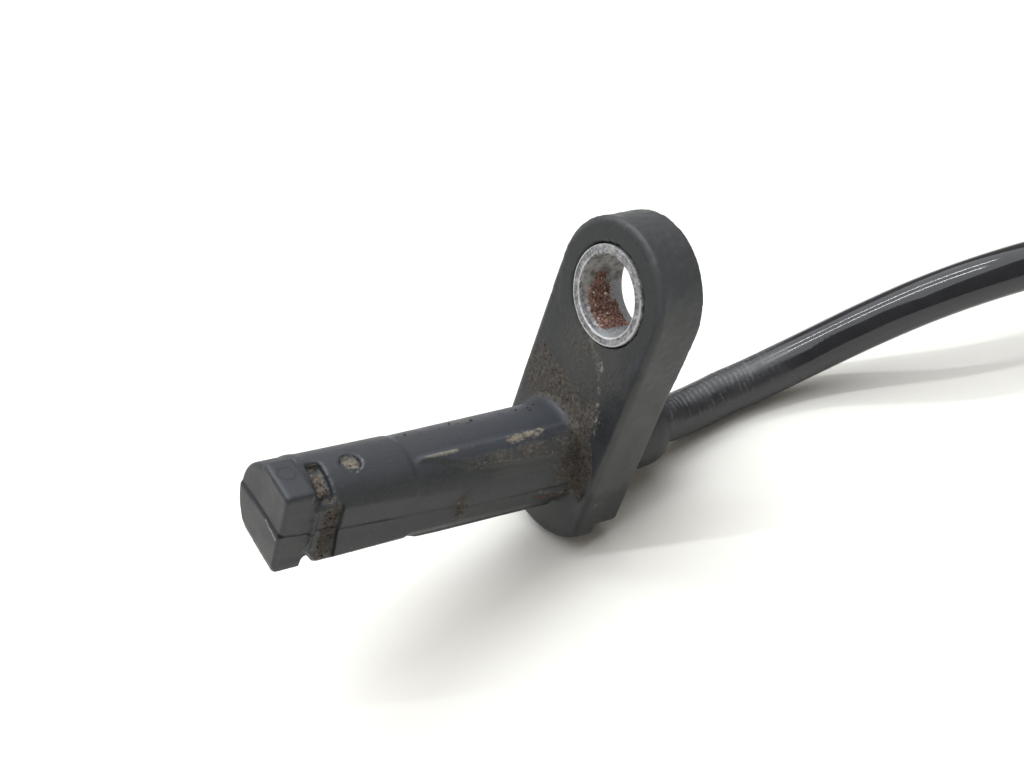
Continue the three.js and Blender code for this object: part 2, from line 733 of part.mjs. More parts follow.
function terminal(side) {
  const y = side * bladeSpacing / 2;
  const tip = shellLength - bladeSetback;
  const back = coreEnd - fitGap;
  const half = bladeWidth / 2;
  const thin = bladeThickness / 2;
  const section = (x, width, thickness) => [
    [x, y - width, -thickness], [x, y + width, -thickness],
    [x, y + width, thickness], [x, y - width, thickness],
  ];
  const blade = skinned([
    section(back - 1, half, thin), section(tip - bladeTaper, half, thin), section(tip, half / 2, thin / 2),
  ]);
  const outer = block(back - barrelLength, back, y - barrelWidth / 2, y + barrelWidth / 2,
    -barrelHeight / 2, barrelHeight / 2);
  const inner = block(back - barrelLength - 1, back - 1, y - barrelWidth / 2 + 0.4, y + barrelWidth / 2 - 0.4,
    -barrelHeight / 2 + 0.4, barrelHeight / 2 - 0.4);
  return blade.add(outer.subtract(inner));
}

function cavityPlate(x0, x1, inset) {
  const width = shellWidth - 2 * shellWall - 2 * mouthRimHeight - 2 * inset;
  const height = shellHeight - 2 * shellWall - 2 * mouthRimHeight - 2 * inset;
  return run(roundedRectangle(width, height, shellCorner - shellWall / 2 - inset / 2), x0, x1, 0, 5);
}

function terminalLock() {
  const x0 = mouthBottom + fitGap;
  let plate = cavityPlate(x0, x0 + lockThickness, fitGap);
  for (const side of [-1, 1]) {
    const y = side * bladeSpacing / 2;
    const halfWidth = bladeWidth / 2 + fitGap;
    const halfThickness = bladeThickness / 2 + fitGap;
    plate = plate.subtract(block(0, shellLength, y - halfWidth, y + halfWidth,
      -halfThickness, halfThickness));
  }
  return plate;
}

function connectorSeal() {
  const x0 = mouthBottom + 2 * fitGap + lockThickness;
  const outer = cavityPlate(x0, x0 + sealLength, fitGap);
  return outer.subtract(cavityPlate(x0 - 1, x0 + sealLength + 1, fitGap + sealWall));
}

function connectorBoot() {
  const face = -fitGap;
  const rear = face - bootLength;
  const bore = cableBoreRadius;
  const profile = [[rear, bore], [rear, bootSmallRadius]];
  const ringRun = bootLength * 0.7;
  for (let i = 0; i < bootRingCount; i += 1) {
    const at = (share) => rear + 1.5 + ringRun * (i + share) / bootRingCount;
    const skin = (x) => bootSmallRadius + (bootLargeRadius - bootSmallRadius) * (x - rear) / bootLength;
    profile.push([at(0), skin(at(0))], [at(0.15), skin(at(0.15)) - bootRingDepth]);
    profile.push([at(0.45), skin(at(0.45)) - bootRingDepth], [at(0.6), skin(at(0.6))]);
  }
  profile.push([face, bootLargeRadius], [face, bore], [rear, bore]);
  return turned(profile, smallSteps * 1.5);
}

function connectorPieces() {
  return [
    piece('connector_housing', connectorShell(), shellBlack),
    piece('connector_boot', connectorBoot(), jacketBlack),
    piece('terminal_a', terminal(-1), tinnedCopper),
    piece('terminal_b', terminal(1), tinnedCopper),
    piece('terminal_lock', terminalLock(), lockGrey),
    piece('connector_seal', connectorSeal(), sealOrange),
  ];
}

// Sensor, rolled about its head axis and then raised at the tip
const rolled = new THREE.Group();
rolled.rotation.x = radians(rollAngle);
rolled.add(...sensorPieces());
const sensor = new THREE.Group();
sensor.rotation.y = radians(tipRaise);
sensor.add(rolled);

// Connector on the coil
const connector = new THREE.Group();
connector.rotation.z = -Math.PI / 2;
connector.position.set(connectorX, connectorY, shellAxisHeight);
connector.add(...connectorPieces());

// Lead: it ends against the coil, and the tail starts there
const stepLength = 2 * cableDiameter;
const coilClearance = ring(fitGap);
const cable = tube(routeCurve(leadRoute), cableRadius, 12, stepLength).subtract(coilClearance);
const tail = tube(routeCurve(tailRoute), cableRadius, 12, stepLength).subtract(coilClearance);
const lead = new THREE.Group();
lead.add(
  piece('cable', cable, jacketBlack),
  piece('cable_coil', ring(0), jacketBlack),
  piece('cable_tail', tail, jacketBlack),
  piece('coil_tie', coilTie(), tieBlack),
  connector,
);

// The sensor stands on z = 0, and the middle of its box is the origin
const reach = new THREE.Box3().setFromObject(sensor, true);
const middle = reach.getCenter(new THREE.Vector3());
sensor.position.set(-middle.x, -middle.y, -reach.min.z);
lead.position.set(-middle.x, -middle.y, 0);

const wheelSpeedSensor = new THREE.Group();
wheelSpeedSensor.add(sensor, lead);
wheelSpeedSensor.updateMatrixWorld(true);

export default wheelSpeedSensor;
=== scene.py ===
"""Used wheel speed sensor: the finish of its surfaces, its lead and coil, its dirt, rust and wear, and light
and shade painted into its colours.
"""
import math

import bmesh
import bpy
import numpy as np
from mathutils import Matrix, Vector, noise


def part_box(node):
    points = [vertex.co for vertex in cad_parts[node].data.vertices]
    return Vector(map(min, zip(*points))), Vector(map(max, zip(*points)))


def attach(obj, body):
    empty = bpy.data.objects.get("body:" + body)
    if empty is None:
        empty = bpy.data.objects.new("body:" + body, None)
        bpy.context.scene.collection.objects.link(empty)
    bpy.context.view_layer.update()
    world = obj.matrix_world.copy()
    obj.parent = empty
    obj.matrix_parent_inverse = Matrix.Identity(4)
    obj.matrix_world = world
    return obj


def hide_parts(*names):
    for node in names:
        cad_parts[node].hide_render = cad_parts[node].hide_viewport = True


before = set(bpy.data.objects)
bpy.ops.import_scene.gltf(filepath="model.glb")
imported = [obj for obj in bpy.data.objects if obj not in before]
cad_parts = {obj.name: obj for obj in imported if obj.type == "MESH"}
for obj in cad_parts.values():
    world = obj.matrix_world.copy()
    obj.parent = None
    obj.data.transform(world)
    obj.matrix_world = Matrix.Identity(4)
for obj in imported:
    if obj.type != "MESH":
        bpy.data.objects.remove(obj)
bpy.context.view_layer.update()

# Sizes that the looks share with the solids, in mm. In the sensor's own frame the head lies along x
# with its tip towards -x, the flange's seat face is at x = 0 and the bolt is towards +z.
MM = 0.001
HEAD_LENGTH = 34.4
SHANK_RADIUS = 5.2
DIMPLE_AT = -26.2
DIMPLE_ANGLE = math.radians(86)
DIMPLE_DIRT = (DIMPLE_AT, -0.36, 4.9)
DIMPLE_RADIUS = 1.05
FLANGE_THICKNESS = 5.65
BOLT_OFFSET = 20.6
BOSS_END = 14.6
CABLE_START = 6
BUSHING_RADIUS = 5.25
BUSHING_FRONT = -0.185
BUSHING_BACK = FLANGE_THICKNESS + 0.2
BORE_RADIUS = 4.25
MOUTH_RADIUS = 2.72

# How the sensor lies: rolled about its head, then raised at the tip
TIP_RAISE = math.radians(24)
ROLL = math.radians(14)
LYING = Matrix.Rotation(TIP_RAISE, 4, "Y") @ Matrix.Rotation(ROLL, 4, "X")
BUSHING_MIDDLE = Vector(((BUSHING_FRONT + BUSHING_BACK) / 2, 0, BOLT_OFFSET)) * MM
bushing_low, bushing_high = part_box("mounting_bushing")
SEAT = (bushing_low + bushing_high) / 2 - LYING.to_3x3() @ BUSHING_MIDDLE
LOCAL = Matrix.Translation(SEAT) @ LYING @ Matrix.Scale(MM, 4)

# Camera, from the photograph's view
CAMERA_FROM_SEAT = Vector((-0.0479, -0.0917, 0.0915088))
CAMERA_RIGHT = Vector((0.7867, -0.579, -0.2141))
CAMERA_UP = Vector((0.509, 0.412, 0.7558))
LENS_MM = 44.02
SENSOR_MM = 36

# Lead, in metres. Its route, and that of its tail from the coil to the connector boot, have x and y from
# the flange's seat on the head axis and z from the table.
CABLE_DIAMETER = 0.0055
CORD_STEP = 0.0008
CORD_INSET = 0.00001
CABLE_SIDES = 32
LEAD_ROUTE = [
    (0.00548, 0, 0.00805), (0.0094, 0, 0.00631), (0.01334, 0, 0.00456), (0.0169, -0.0001, 0.0034),
    (0.0205, -0.0005, 0.0029), (0.0241, -0.0011, 0.0028), (0.0277, -0.0023, 0.0030),
    (0.0342, -0.0055, 0.0047), (0.0398, -0.0096, 0.0074), (0.0452, -0.0140, 0.0100),
    (0.0512, -0.0180, 0.0114), (0.0578, -0.0215, 0.0115), (0.0642, -0.0251, 0.0106),
    (0.0706, -0.0293, 0.0089), (0.0770, -0.0339, 0.0068), (0.0835, -0.0386, 0.0049),
    (0.0900, -0.0434, 0.0040), (0.0966, -0.0484, 0.00385),
]
TAIL_ROUTE = [
    (0.1376, -0.0433, 0.00935), (0.1414, -0.0365, 0.0102), (0.1428, -0.0289, 0.0122),
    (0.1422, -0.0215, 0.0141), (0.1402, -0.0145, 0.0152), (0.1361, -0.0070, 0.0152),
    (0.1298, -0.0011, 0.0152), (0.1220, 0.0025, 0.0154), (0.1144, 0.0036, 0.0158),
    (0.1067, 0.0021, 0.0164), (0.1003, -0.0023, 0.0172), (0.0959, -0.0087, 0.0180),
    (0.0944, -0.0164, 0.0184), (0.0944, -0.0220, 0.0184), (0.0944, -0.0284, 0.0184),
]

# Coil of the lead, in metres, and the shares of a turn over which it crosses to its next place
COIL_CENTRE = (0.1144, -0.0239)
COIL_MIDDLE_RADIUS = 0.0275
COIL_LIFT = 0.0011
COIL_TURNS = 3
COIL_POINTS_A_TURN = 24
FIRST_CROSSING = 0.78
CROSSING_SHIFT = 0.18
CROSSING_SHARE = 0.17

# Fine rings that handling left on the lead near the housing, in metres
RIDGED_LENGTH = 0.021
RIDGE_PITCH = 0.00072
RIDGE_DEPTH = 0.00003
RIDGE_STEP = 0.00009
RIDGE_MARGIN = 0.006


# Camera
def make_camera():
    data = bpy.data.cameras.new("camera")
    data.lens = LENS_MM
    data.sensor_width = SENSOR_MM
    data.clip_start = 0.01
    data.clip_end = 20
    camera = bpy.data.objects.new("camera", data)
    bpy.context.scene.collection.objects.link(camera)
    right = CAMERA_RIGHT.normalized()
    back = right.cross(CAMERA_UP).normalized()
    up = back.cross(right)
    turn = Matrix((right, up, back)).transposed()
    camera.matrix_world = Matrix.Translation(SEAT + CAMERA_FROM_SEAT) @ turn.to_4x4()
    bpy.context.scene.camera = camera


make_camera()


# Meshes from arrays
def new_object(name, places, faces, smooth=True):
    mesh = bpy.data.meshes.new(name)
    mesh.from_pydata([tuple(p) for p in places], [], [tuple(f) for f in faces])
    mesh.polygons.foreach_set("use_smooth", [smooth] * len(mesh.polygons))
    mesh.update()
    piece = bpy.data.objects.new(name, mesh)
    bpy.context.scene.collection.objects.link(piece)
    return piece


def triples(items, name):
    """Three numbers for each vertex or face."""
    values = np.zeros(len(items) * 3, np.float32)
    items.foreach_get(name, values)
    return values.reshape(-1, 3).astype(float)


def places_of(mesh):
    return triples(mesh.vertices, "co")


def normals_of(mesh):
    return triples(mesh.vertices, "normal")


def set_places(mesh, places):
    mesh.vertices.foreach_set("co", places.astype(np.float32).ravel())
    mesh.update()


def paint(mesh, name, values):
    layer = mesh.attributes.new(name, "FLOAT", "POINT")
    layer.data.foreach_set("value", np.asarray(values, np.float32))


def paint_masks(mesh, masks):
    for name, values in masks.items():
        paint(mesh, name, np.clip(values, 0, 1))


def grid_faces(rows, columns, closed_rows=False):
    """Quads over rows of points, each row closed on itself."""
    faces = []
    for i in range(rows if closed_rows else rows - 1):
        a, b = i * columns, (i + 1) % rows * columns
        for j in range(columns):
            k = (j + 1) % columns
            faces.append((a + j, a + k, b + k, b + j))
    return faces


def ramp(value, low, high):
    """0 below low, 1 above high, smooth between."""
    t = np.clip((value - low) / (high - low), 0, 1)
    return t * t * (3 - 2 * t)


def fractal(places, size, octaves, shift):
    """Smooth noise, about -1 to 1, whose features are about size across."""
    offset = Vector((shift, shift * 0.7, -shift))
    return np.array([
        noise.fractal(Vector(p) / size + offset, 1.0, 2.0, octaves) for p in places])


# Lead, coil and tail as one cord
def smooth_line(points, step):
    """Points about a step apart on a centripetal curve through the given ones."""
    p = [Vector(q) for q in points]
    p = [2 * p[0] - p[1], *p, 2 * p[-1] - p[-2]]
    line = []
    for a, b, c, d in zip(p, p[1:], p[2:], p[3:]):
        t1 = (b - a).length ** 0.5
        t2 = t1 + (c - b).length ** 0.5
        t3 = t2 + (d - c).length ** 0.5
        count = max(2, round((c - b).length / step))
        for i in range(count):
            t = t1 + (t2 - t1) * i / count
            ab = a.lerp(b, t / t1)
            bc = b.lerp(c, (t - t1) / (t2 - t1))
            cd = c.lerp(d, (t - t2) / (t3 - t2))
            abc = ab.lerp(bc, t / t2)
            bcd = bc.lerp(cd, (t - t1) / (t3 - t1))
            line.append(abc.lerp(bcd, (t - t1) / (t2 - t1)))
    return [*line, p[-2]]


def coil_points():
    """Turns two wide and two high: outer bottom, inner bottom, inner top, outer top."""
    half = CABLE_DIAMETER / 2
    outer, inner = COIL_MIDDLE_RADIUS + half, COIL_MIDDLE_RADIUS - half
    low, high = COIL_LIFT + half, COIL_LIFT + 3 * half
    slots = [(outer, low), (inner, low), (inner, high), (outer, high)]
    start, end = (math.atan2(y - COIL_CENTRE[1], x - COIL_CENTRE[0])
                  for x, y, _ in (LEAD_ROUTE[-1], TAIL_ROUTE[0]))
    total = 2 * math.pi * COIL_TURNS + end - start
    count = round(COIL_POINTS_A_TURN * total / (2 * math.pi))
    points = []
    for i in range(count):
        turned = total * i / count
        turn, share = divmod(turned / (2 * math.pi), 1)
        turn = int(turn)
        begins = FIRST_CROSSING - CROSSING_SHIFT * turn
        across = float(ramp(share, begins, begins + CROSSING_SHARE)) if turn < COIL_TURNS else 0.0
        here, there = slots[turn], slots[min(turn + 1, 3)]
        radius = here[0] + (there[0] - here[0]) * across
        height = here[1] + (there[1] - here[1]) * across
        angle = start + turned
        points.append((COIL_CENTRE[0] + radius * math.cos(angle),
                       COIL_CENTRE[1] + radius * math.sin(angle), height))
    return points


def carried(line):
    """Directions aside and up that turn as little as they can along a line."""
    ahead = np.gradient(line, axis=0)
    ahead /= np.linalg.norm(ahead, axis=1)[:, None]
    side = np.cross(ahead[0], (0, 0, 1))
    sides = []
    for direction in ahead:
        side = side - direction * (side @ direction)
        side /= np.linalg.norm(side)
        sides.append(side)
    sides = np.array(sides)
    return sides, np.cross(sides, ahead)


def cord_centres():
    """Ring centres of the whole lead, and how far along from the housing each one is."""
    route = [*LEAD_ROUTE[:-1], *coil_points(), *TAIL_ROUTE]
    line = smooth_line([(x + SEAT.x, y + SEAT.y, z) for x, y, z in route], CORD_STEP)
    lengths = np.concatenate([[0], np.cumsum([(b - a).length for a, b in zip(line, line[1:])])])
    exit_at = (BOSS_END - CABLE_START) * MM
    ridges_end = exit_at + RIDGED_LENGTH + RIDGE_MARGIN
    stations = np.concatenate([
        np.arange(0, exit_at, CORD_STEP),
        np.arange(exit_at, ridges_end, RIDGE_STEP),
        np.arange(ridges_end, lengths[-1], CORD_STEP),
        [lengths[-1]]])
    centres = np.stack([np.interp(stations, lengths, [p[k] for p in line]) for k in range(3)], axis=1)
    return centres, stations - exit_at


def handling_rings(along, angle, height):
    """Fine rings, deepest on the upper side, and the unevenness round them."""
    wobble = np.array([
        [noise.noise(Vector((s * 900, math.cos(a) * 1.5, math.sin(a) * 1.5))) for a in angle]
        for s in along])
    phase = 2 * math.pi * (along[:, None] / RIDGE_PITCH) + 1.6 * wobble
    fade = ramp(along, -0.001, 0.001) * (1 - ramp(along, 0.6 * RIDGED_LENGTH, RIDGED_LENGTH))
    ridge = fade[:, None] * ramp(height, 0.0, 0.7) * (0.5 + 0.5 * np.sin(phase)) ** 2
    return ridge, wobble


def make_cord():
    centre, along = cord_centres()
    side, up = carried(centre)
    angle = 2 * math.pi * np.arange(CABLE_SIDES) / CABLE_SIDES
    around = side[:, None] * np.cos(angle)[None, :, None] + up[:, None] * np.sin(angle)[None, :, None]
    height = around[:, :, 2]
    ridge, wobble = handling_rings(along, angle, height)
    radius = CABLE_DIAMETER / 2 - CORD_INSET - RIDGE_DEPTH * ridge * (0.4 + 0.9 * np.abs(wobble))
    places = centre[:, None] + around * radius[:, :, None]
    last = (len(centre) - 1) * CABLE_SIDES
    faces = [f[::-1] for f in grid_faces(len(centre), CABLE_SIDES)]
    faces += [tuple(range(CABLE_SIDES)), tuple(last + i for i in reversed(range(CABLE_SIDES)))]
    cord = new_object("lead", places.reshape(-1, 3), faces)
    paint(cord.data, "along", np.repeat(along, CABLE_SIDES))
    # The ring mask also places the painted highlights on the crests
    paint(cord.data, "ridge", ridge.ravel())
    return cord, [tuple(p) for p in centre], tuple(centre[np.searchsorted(along, 0)])


cord, cord_line, cord_exit = make_cord()


# Material nodes, by short calls
class Finish:
    """A material whose shader sockets and nodes are set by name."""

    def __init__(self, name, color=(0.5, 0.5, 0.5), roughness=0.5, metallic=0.0, **sockets):
        self.material = bpy.data.materials.new(name)
        self.material.use_nodes = True
        self.tree = self.material.node_tree
        self.shader = self.tree.nodes["Principled BSDF"]
        self.set(Base_Color=(*color, 1), Roughness=roughness, Metallic=metallic, **sockets)
        self.places = None

    def set(self, **sockets):
        for name, value in sockets.items():
            self.join(self.shader.inputs[name.replace("_", " ")], value)

    def join(self, socket, value):
        if isinstance(value, bpy.types.NodeSocket):
            self.tree.links.new(value, socket)
        else:
            socket.default_value = value

    def add(self, kind, inputs=(), **settings):
        node = self.tree.nodes.new("ShaderNode" + kind)
        for name, value in settings.items():
            setattr(node, name, value)
        for name, value in dict(inputs).items():
            self.join(node.inputs[name], value)
        return node

    def local(self):
        """Places on the sensor in its own frame, in mm."""
        if self.places is None:
            source = self.add("TexCoord").outputs["Object"]
            self.places = self.add("Mapping", {
                "Vector": source, "Location": SEAT, "Rotation": (ROLL, TIP_RAISE, 0),
                "Scale": (MM, MM, MM)}, vector_type="TEXTURE").outputs["Vector"]
        return self.places

    def noise(self, size, detail, rough, stretch=None):
        """Noise about 0 to 1 whose features are about size mm across."""
        vector = self.local()
        if stretch is not None:
            vector = self.add("VectorMath", {0: vector, 1: stretch}, operation="MULTIPLY").outputs["Vector"]
        return self.add("TexNoise", {
            "Vector": vector, "Scale": 1 / size, "Detail": detail, "Roughness": rough}).outputs["Fac"]

    def attribute(self, name):
        return self.add("Attribute", attribute_name=name).outputs["Fac"]

    def math(self, operation, a, b):
        return self.add("Math", {0: a, 1: b}, operation=operation).outputs[0]

    def between(self, value, low, high, to_low=0.0, to_high=1.0):
        return self.add("MapRange", {
            "Value": value, "From Min": low, "From Max": high, "To Min": to_low, "To Max": to_high,
        }, interpolation_type="SMOOTHSTEP").outputs["Result"]

    def mix(self, share, a, b):
        node = self.add("Mix", data_type="RGBA")
        self.join(node.inputs[0], share)
        for socket, value in ((node.inputs[6], a), (node.inputs[7], b)):
            self.join(socket, (*value, 1) if isinstance(value, tuple) and len(value) == 3 else value)
        return node.outputs[2]

    def coat(self, under, mask, share, over):
        """A colour laid over another where the mask is, by share at most."""
        return self.mix(self.math("MULTIPLY", mask, share), under, over)

    def blend(self, share, a, b):
        node = self.add("Mix", data_type="FLOAT")
        for socket, value in ((node.inputs[0], share), (node.inputs[2], a), (node.inputs[3], b)):
            self.join(socket, value)
        return node.outputs[0]

    def bump(self, height, strength, distance, normal=None):
        inputs = {"Height": height, "Strength": strength, "Distance": distance}
        if normal is not None:
            inputs["Normal"] = normal
        return self.add("Bump", inputs).outputs["Normal"]

    def speckled(self, mask, grain, low, high, amount):
        """A painted mask broken up by a fine grain."""
        shift = self.math("MULTIPLY", self.math("SUBTRACT", grain, 0.5), amount)
        return self.between(self.math("ADD", self.attribute(mask), shift), low, high)


# Housing plastic: charcoal, satin, stained and crusted with road dirt, with light and shade painted into its
# colour
def housing_finish():
    f = Finish("housing_plastic", roughness=0.5, IOR=1.48)
    fine = f.noise(0.11, 3, 0.6)
    grain = f.noise(0.35, 4, 0.62)
    cloud = f.noise(3.2, 4, 0.55)
    broad = f.noise(9.0, 3, 0.5)
    patchy = f.noise(1.1, 5, 0.65)
    color = f.mix(f.between(cloud, 0.3, 0.7), (0.0215, 0.0235, 0.026), (0.030, 0.0325, 0.036))
    # Painted light: a paler, bluer colour on faces turned up and on the flange's round end
    color = f.coat(color, f.attribute("painted_light"), 0.8, (0.043, 0.047, 0.062))
    color = f.coat(color, f.attribute("haze"), 0.75, (0.060, 0.064, 0.069))
    color = f.mix(f.between(broad, 0.35, 0.7, 0, 0.4), color, (0.033, 0.038, 0.038))
    color = f.mix(f.between(grain, 0.5, 0.75, 0, 0.5), color, (0.062, 0.064, 0.068))
    color = f.mix(f.between(patchy, 0.56, 0.75, 0, 0.35), color, (0.052, 0.055, 0.058))
    color = f.mix(f.between(fine, 0.5, 0.3, 0, 0.4), color, (0.016, 0.017, 0.019))
    # Painted shade: a darker colour on faces turned down and on the flange's near side
    color = f.coat(color, f.attribute("painted_shade"), 0.9, (0.0135, 0.0145, 0.016))
    # Olive film, then thin brown dust, crusts, tan soil, rust stains, pale scuffs and painted highlights, and
    # dark lines with painted shade
    film = f.speckled("film", cloud, 0.3, 0.8, 0.5)
    color = f.coat(color, film, 0.55, (0.055, 0.058, 0.053))
    brown = f.speckled("brown", grain, 0.2, 0.75, 1.0)
    dust = f.noise(0.42, 5, 0.68)
    brown_color = f.mix(f.between(dust, 0.38, 0.64), (0.050, 0.044, 0.039), (0.144, 0.126, 0.107))
    brown_color = f.mix(f.between(patchy, 0.52, 0.66, 0, 0.5), brown_color, (0.105, 0.078, 0.060))
    color = f.coat(color, brown, 0.78, brown_color)
    crust = f.speckled("crust", grain, 0.3, 0.66, 1.1)
    crust_color = f.mix(f.between(fine, 0.4, 0.65), (0.026, 0.023, 0.020), (0.080, 0.064, 0.050))
    color = f.coat(color, crust, 0.88, crust_color)
    tan = f.speckled("tan", grain, 0.25, 0.7, 0.9)
    tan_color = f.mix(f.between(grain, 0.36, 0.64), (0.082, 0.065, 0.050), (0.215, 0.188, 0.154))
    color = f.coat(color, tan, 0.85, tan_color)
    pale = f.speckled("pale", grain, 0.2, 0.85, 0.6)
    color = f.coat(color, pale, 0.8, (0.30, 0.285, 0.215))
    rusty = f.speckled("rusty", fine, 0.35, 0.65, 0.9)
    color = f.coat(color, rusty, 0.7, (0.115, 0.050, 0.034))
    # Pale bare edges and scratches, and painted highlights on the rims of the groove and the dimple
    wear_and_highlight = f.speckled("wear_and_highlight", grain, 0.4, 0.66, 0.8)
    color = f.coat(color, wear_and_highlight, 0.7, (0.30, 0.30, 0.28))
    # Dark lines: the round mark and the parting line, and painted shade in the root's crevice, along the
    # parting and tip steps and at the groove's edge
    color = f.coat(color, f.attribute("line"), 0.9, (0.006, 0.006, 0.007))
    dirty = f.math("MAXIMUM", f.math("MAXIMUM", brown, crust), f.math("MAXIMUM", tan, rusty))
    rough = f.between(cloud, 0.3, 0.7, 0.44, 0.56)
    rough = f.blend(f.attribute("gloss"), rough, 0.24)
    rough = f.blend(dirty, rough, 0.9)
    height = f.math("ADD", f.math("MULTIPLY", fine, 0.4), f.math("MULTIPLY", grain, 0.6))
    lumps = f.math("MULTIPLY", dirty, f.noise(0.22, 3, 0.6))
    normal = f.bump(height, 0.45, 0.00004)
    normal = f.bump(lumps, 0.8, 0.00012, normal)
    shine = f.between(f.attribute("line"), 0, 1, 0.5, 0.05)
    f.set(Base_Color=color, Roughness=rough, Normal=normal, Specular_IOR_Level=shine)
    return f.material


# Bushing steel: dull zinc with pale scratches, white corrosion and rust
def bushing_finish():
    f = Finish("bushing_steel")
    fine = f.noise(0.10, 3, 0.65)
    grain = f.noise(0.32, 4, 0.65)
    cloud = f.noise(1.1, 4, 0.6)
    color = f.mix(f.between(cloud, 0.34, 0.66), (0.17, 0.17, 0.178), (0.42, 0.42, 0.44))
    color = f.mix(f.between(grain, 0.47, 0.38, 0, 0.75), color, (0.085, 0.085, 0.088))
    color = f.mix(f.between(grain, 0.54, 0.68, 0, 0.8), color, (0.66, 0.66, 0.67))
    soot = f.speckled("soot", grain, 0.3, 0.7, 0.8)
    soot_color = f.mix(f.between(cloud, 0.35, 0.65), (0.14, 0.132, 0.128), (0.37, 0.36, 0.35))
    color = f.coat(color, soot, 0.9, soot_color)
    zinc = f.speckled("zinc", grain, 0.3, 0.66, 1.0)
    zinc_color = f.mix(f.between(fine, 0.35, 0.62), (0.17, 0.177, 0.195), (0.46, 0.47, 0.50))
    color = f.coat(color, zinc, 0.9, zinc_color)
    bright = f.speckled("bright", grain, 0.3, 0.75, 1.0)
    color = f.coat(color, bright, 0.85, (0.70, 0.70, 0.71))
    rust = f.between(f.attribute("rust"), 0.35, 0.55)
    rust_grain = f.noise(0.28, 4, 0.7)
    rust_color = f.mix(f.between(rust_grain, 0.38, 0.6), (0.105, 0.055, 0.044), (0.39, 0.235, 0.19))
    rust_color = f.mix(f.between(rust_grain, 0.60, 0.66), rust_color, (0.62, 0.50, 0.44))
    color = f.mix(rust, color, rust_color)
    dull = f.math("MAXIMUM", rust, f.math("MAXIMUM", soot, zinc))
    metallic = f.blend(dull, f.between(grain, 0.35, 0.6, 0.15, 0.5), 0.0)
    rough = f.blend(dull, f.between(cloud, 0.3, 0.7, 0.42, 0.6), 0.85)
    normal = f.bump(f.math("ADD", fine, grain), 0.6, 0.00006)
    f.set(Base_Color=color, Metallic=metallic, Roughness=rough, Normal=normal)
    return f.material


# Jacket of the lead: glossy black, scuffed grey and ringed near the housing, its ring crests painted pale as
# scuffs and highlights
def jacket_finish():
    f = Finish("cable_jacket", roughness=0.2, IOR=1.57)
    along = f.attribute("along")
    scuffed = f.math("SUBTRACT", 1.0, f.between(along, 0.8 * RIDGED_LENGTH, 1.1 * RIDGED_LENGTH))
    fine = f.noise(0.13, 3, 0.6)
    cloud = f.noise(1.6, 4, 0.6)
    worn = f.math("MULTIPLY", scuffed, f.between(cloud, 0.25, 0.7, 0.45, 1.0))
    color = f.mix(f.between(cloud, 0.3, 0.7), (0.0122, 0.0128, 0.0168), (0.0160, 0.0170, 0.0228))
    color = f.coat(color, worn, 0.7, (0.036, 0.038, 0.043))
    # Pale scuffs on the ring crests, kept to the upper side, partly a painted highlight
    broken = f.between(f.noise(0.9, 3, 0.6), 0.47, 0.62)
    crest_scuff_highlight = f.math("MULTIPLY", f.attribute("ridge"), broken)
    crest_scuff_highlight = f.math("MULTIPLY", crest_scuff_highlight, f.between(fine, 0.35, 0.55))
    color = f.coat(color, crest_scuff_highlight, 0.7, (0.17, 0.17, 0.18))
    rough = f.blend(worn, f.between(cloud, 0.35, 0.75, 0.08, 0.13), 0.44)
    normal = f.bump(fine, 0.04, 0.00003)
    f.set(Base_Color=color, Roughness=rough, Normal=normal)
    return f.material


# Moulded plastics, metals and rubber of the smaller pieces, with their own grain and variation
def moulded_finish(name, dark, light, roughness):
    f = Finish(name, roughness=roughness, IOR=1.48)
    cloud = f.noise(4.0, 4, 0.55)
    grain = f.noise(0.25, 3, 0.6)
    color = f.mix(f.between(cloud, 0.3, 0.7), dark, light)
    scuff = f.between(f.noise(0.8, 5, 0.7, stretch=(0.25, 1.0, 1.0)), 0.62, 0.74)
    paler = tuple(min(1.0, c * 1.6 + 0.02) for c in light)
    color = f.coat(color, scuff, 0.5, paler)
    rough = f.between(grain, 0.3, 0.7, roughness - 0.06, roughness + 0.08)
    f.set(Base_Color=color, Roughness=rough, Normal=f.bump(grain, 0.25, 0.00004))
    return f.material


def metal_finish(name, dark, light, roughness):
    f = Finish(name, metallic=1.0)
    cloud = f.noise(1.5, 4, 0.6)
    streaks = f.noise(0.3, 3, 0.6, stretch=(0.15, 1.0, 1.0))
    color = f.mix(f.between(cloud, 0.3, 0.7), dark, light)
    rough = f.between(streaks, 0.3, 0.7, roughness - 0.08, roughness + 0.12)
    f.set(Base_Color=color, Roughness=rough, Normal=f.bump(streaks, 0.2, 0.00003))
    return f.material


def grain_finish():
    f = Finish("dirt_grains", roughness=0.9)
    grain = f.noise(0.25, 3, 0.6)
    cloud = f.noise(1.4, 2, 0.5)
    color = f.mix(f.between(grain, 0.35, 0.65), (0.026, 0.021, 0.017), (0.085, 0.066, 0.050))
    color = f.mix(f.between(cloud, 0.58, 0.66), color, (0.15, 0.118, 0.088))
    f.set(Base_Color=color, Normal=f.bump(grain, 0.6, 0.0001))
    return f.material


def rust_grain_finish():
    f = Finish("rust_grains", roughness=0.8)
    grain = f.noise(0.3, 3, 0.6)
    color = f.mix(f.between(grain, 0.38, 0.62), (0.120, 0.058, 0.044), (0.42, 0.23, 0.17))
    color = f.mix(f.attribute("pale"), color, (0.78, 0.74, 0.70))
    f.set(Base_Color=color, Normal=f.bump(grain, 0.7, 0.0001))
    return f.material


# Masks placed on the sensor in its own frame, in mm
def blob(places, centre, radii):
    """A soft spot, 1 at its centre."""
    return np.exp(-(((places - np.array(centre)) / np.array(radii)) ** 2).sum(1))


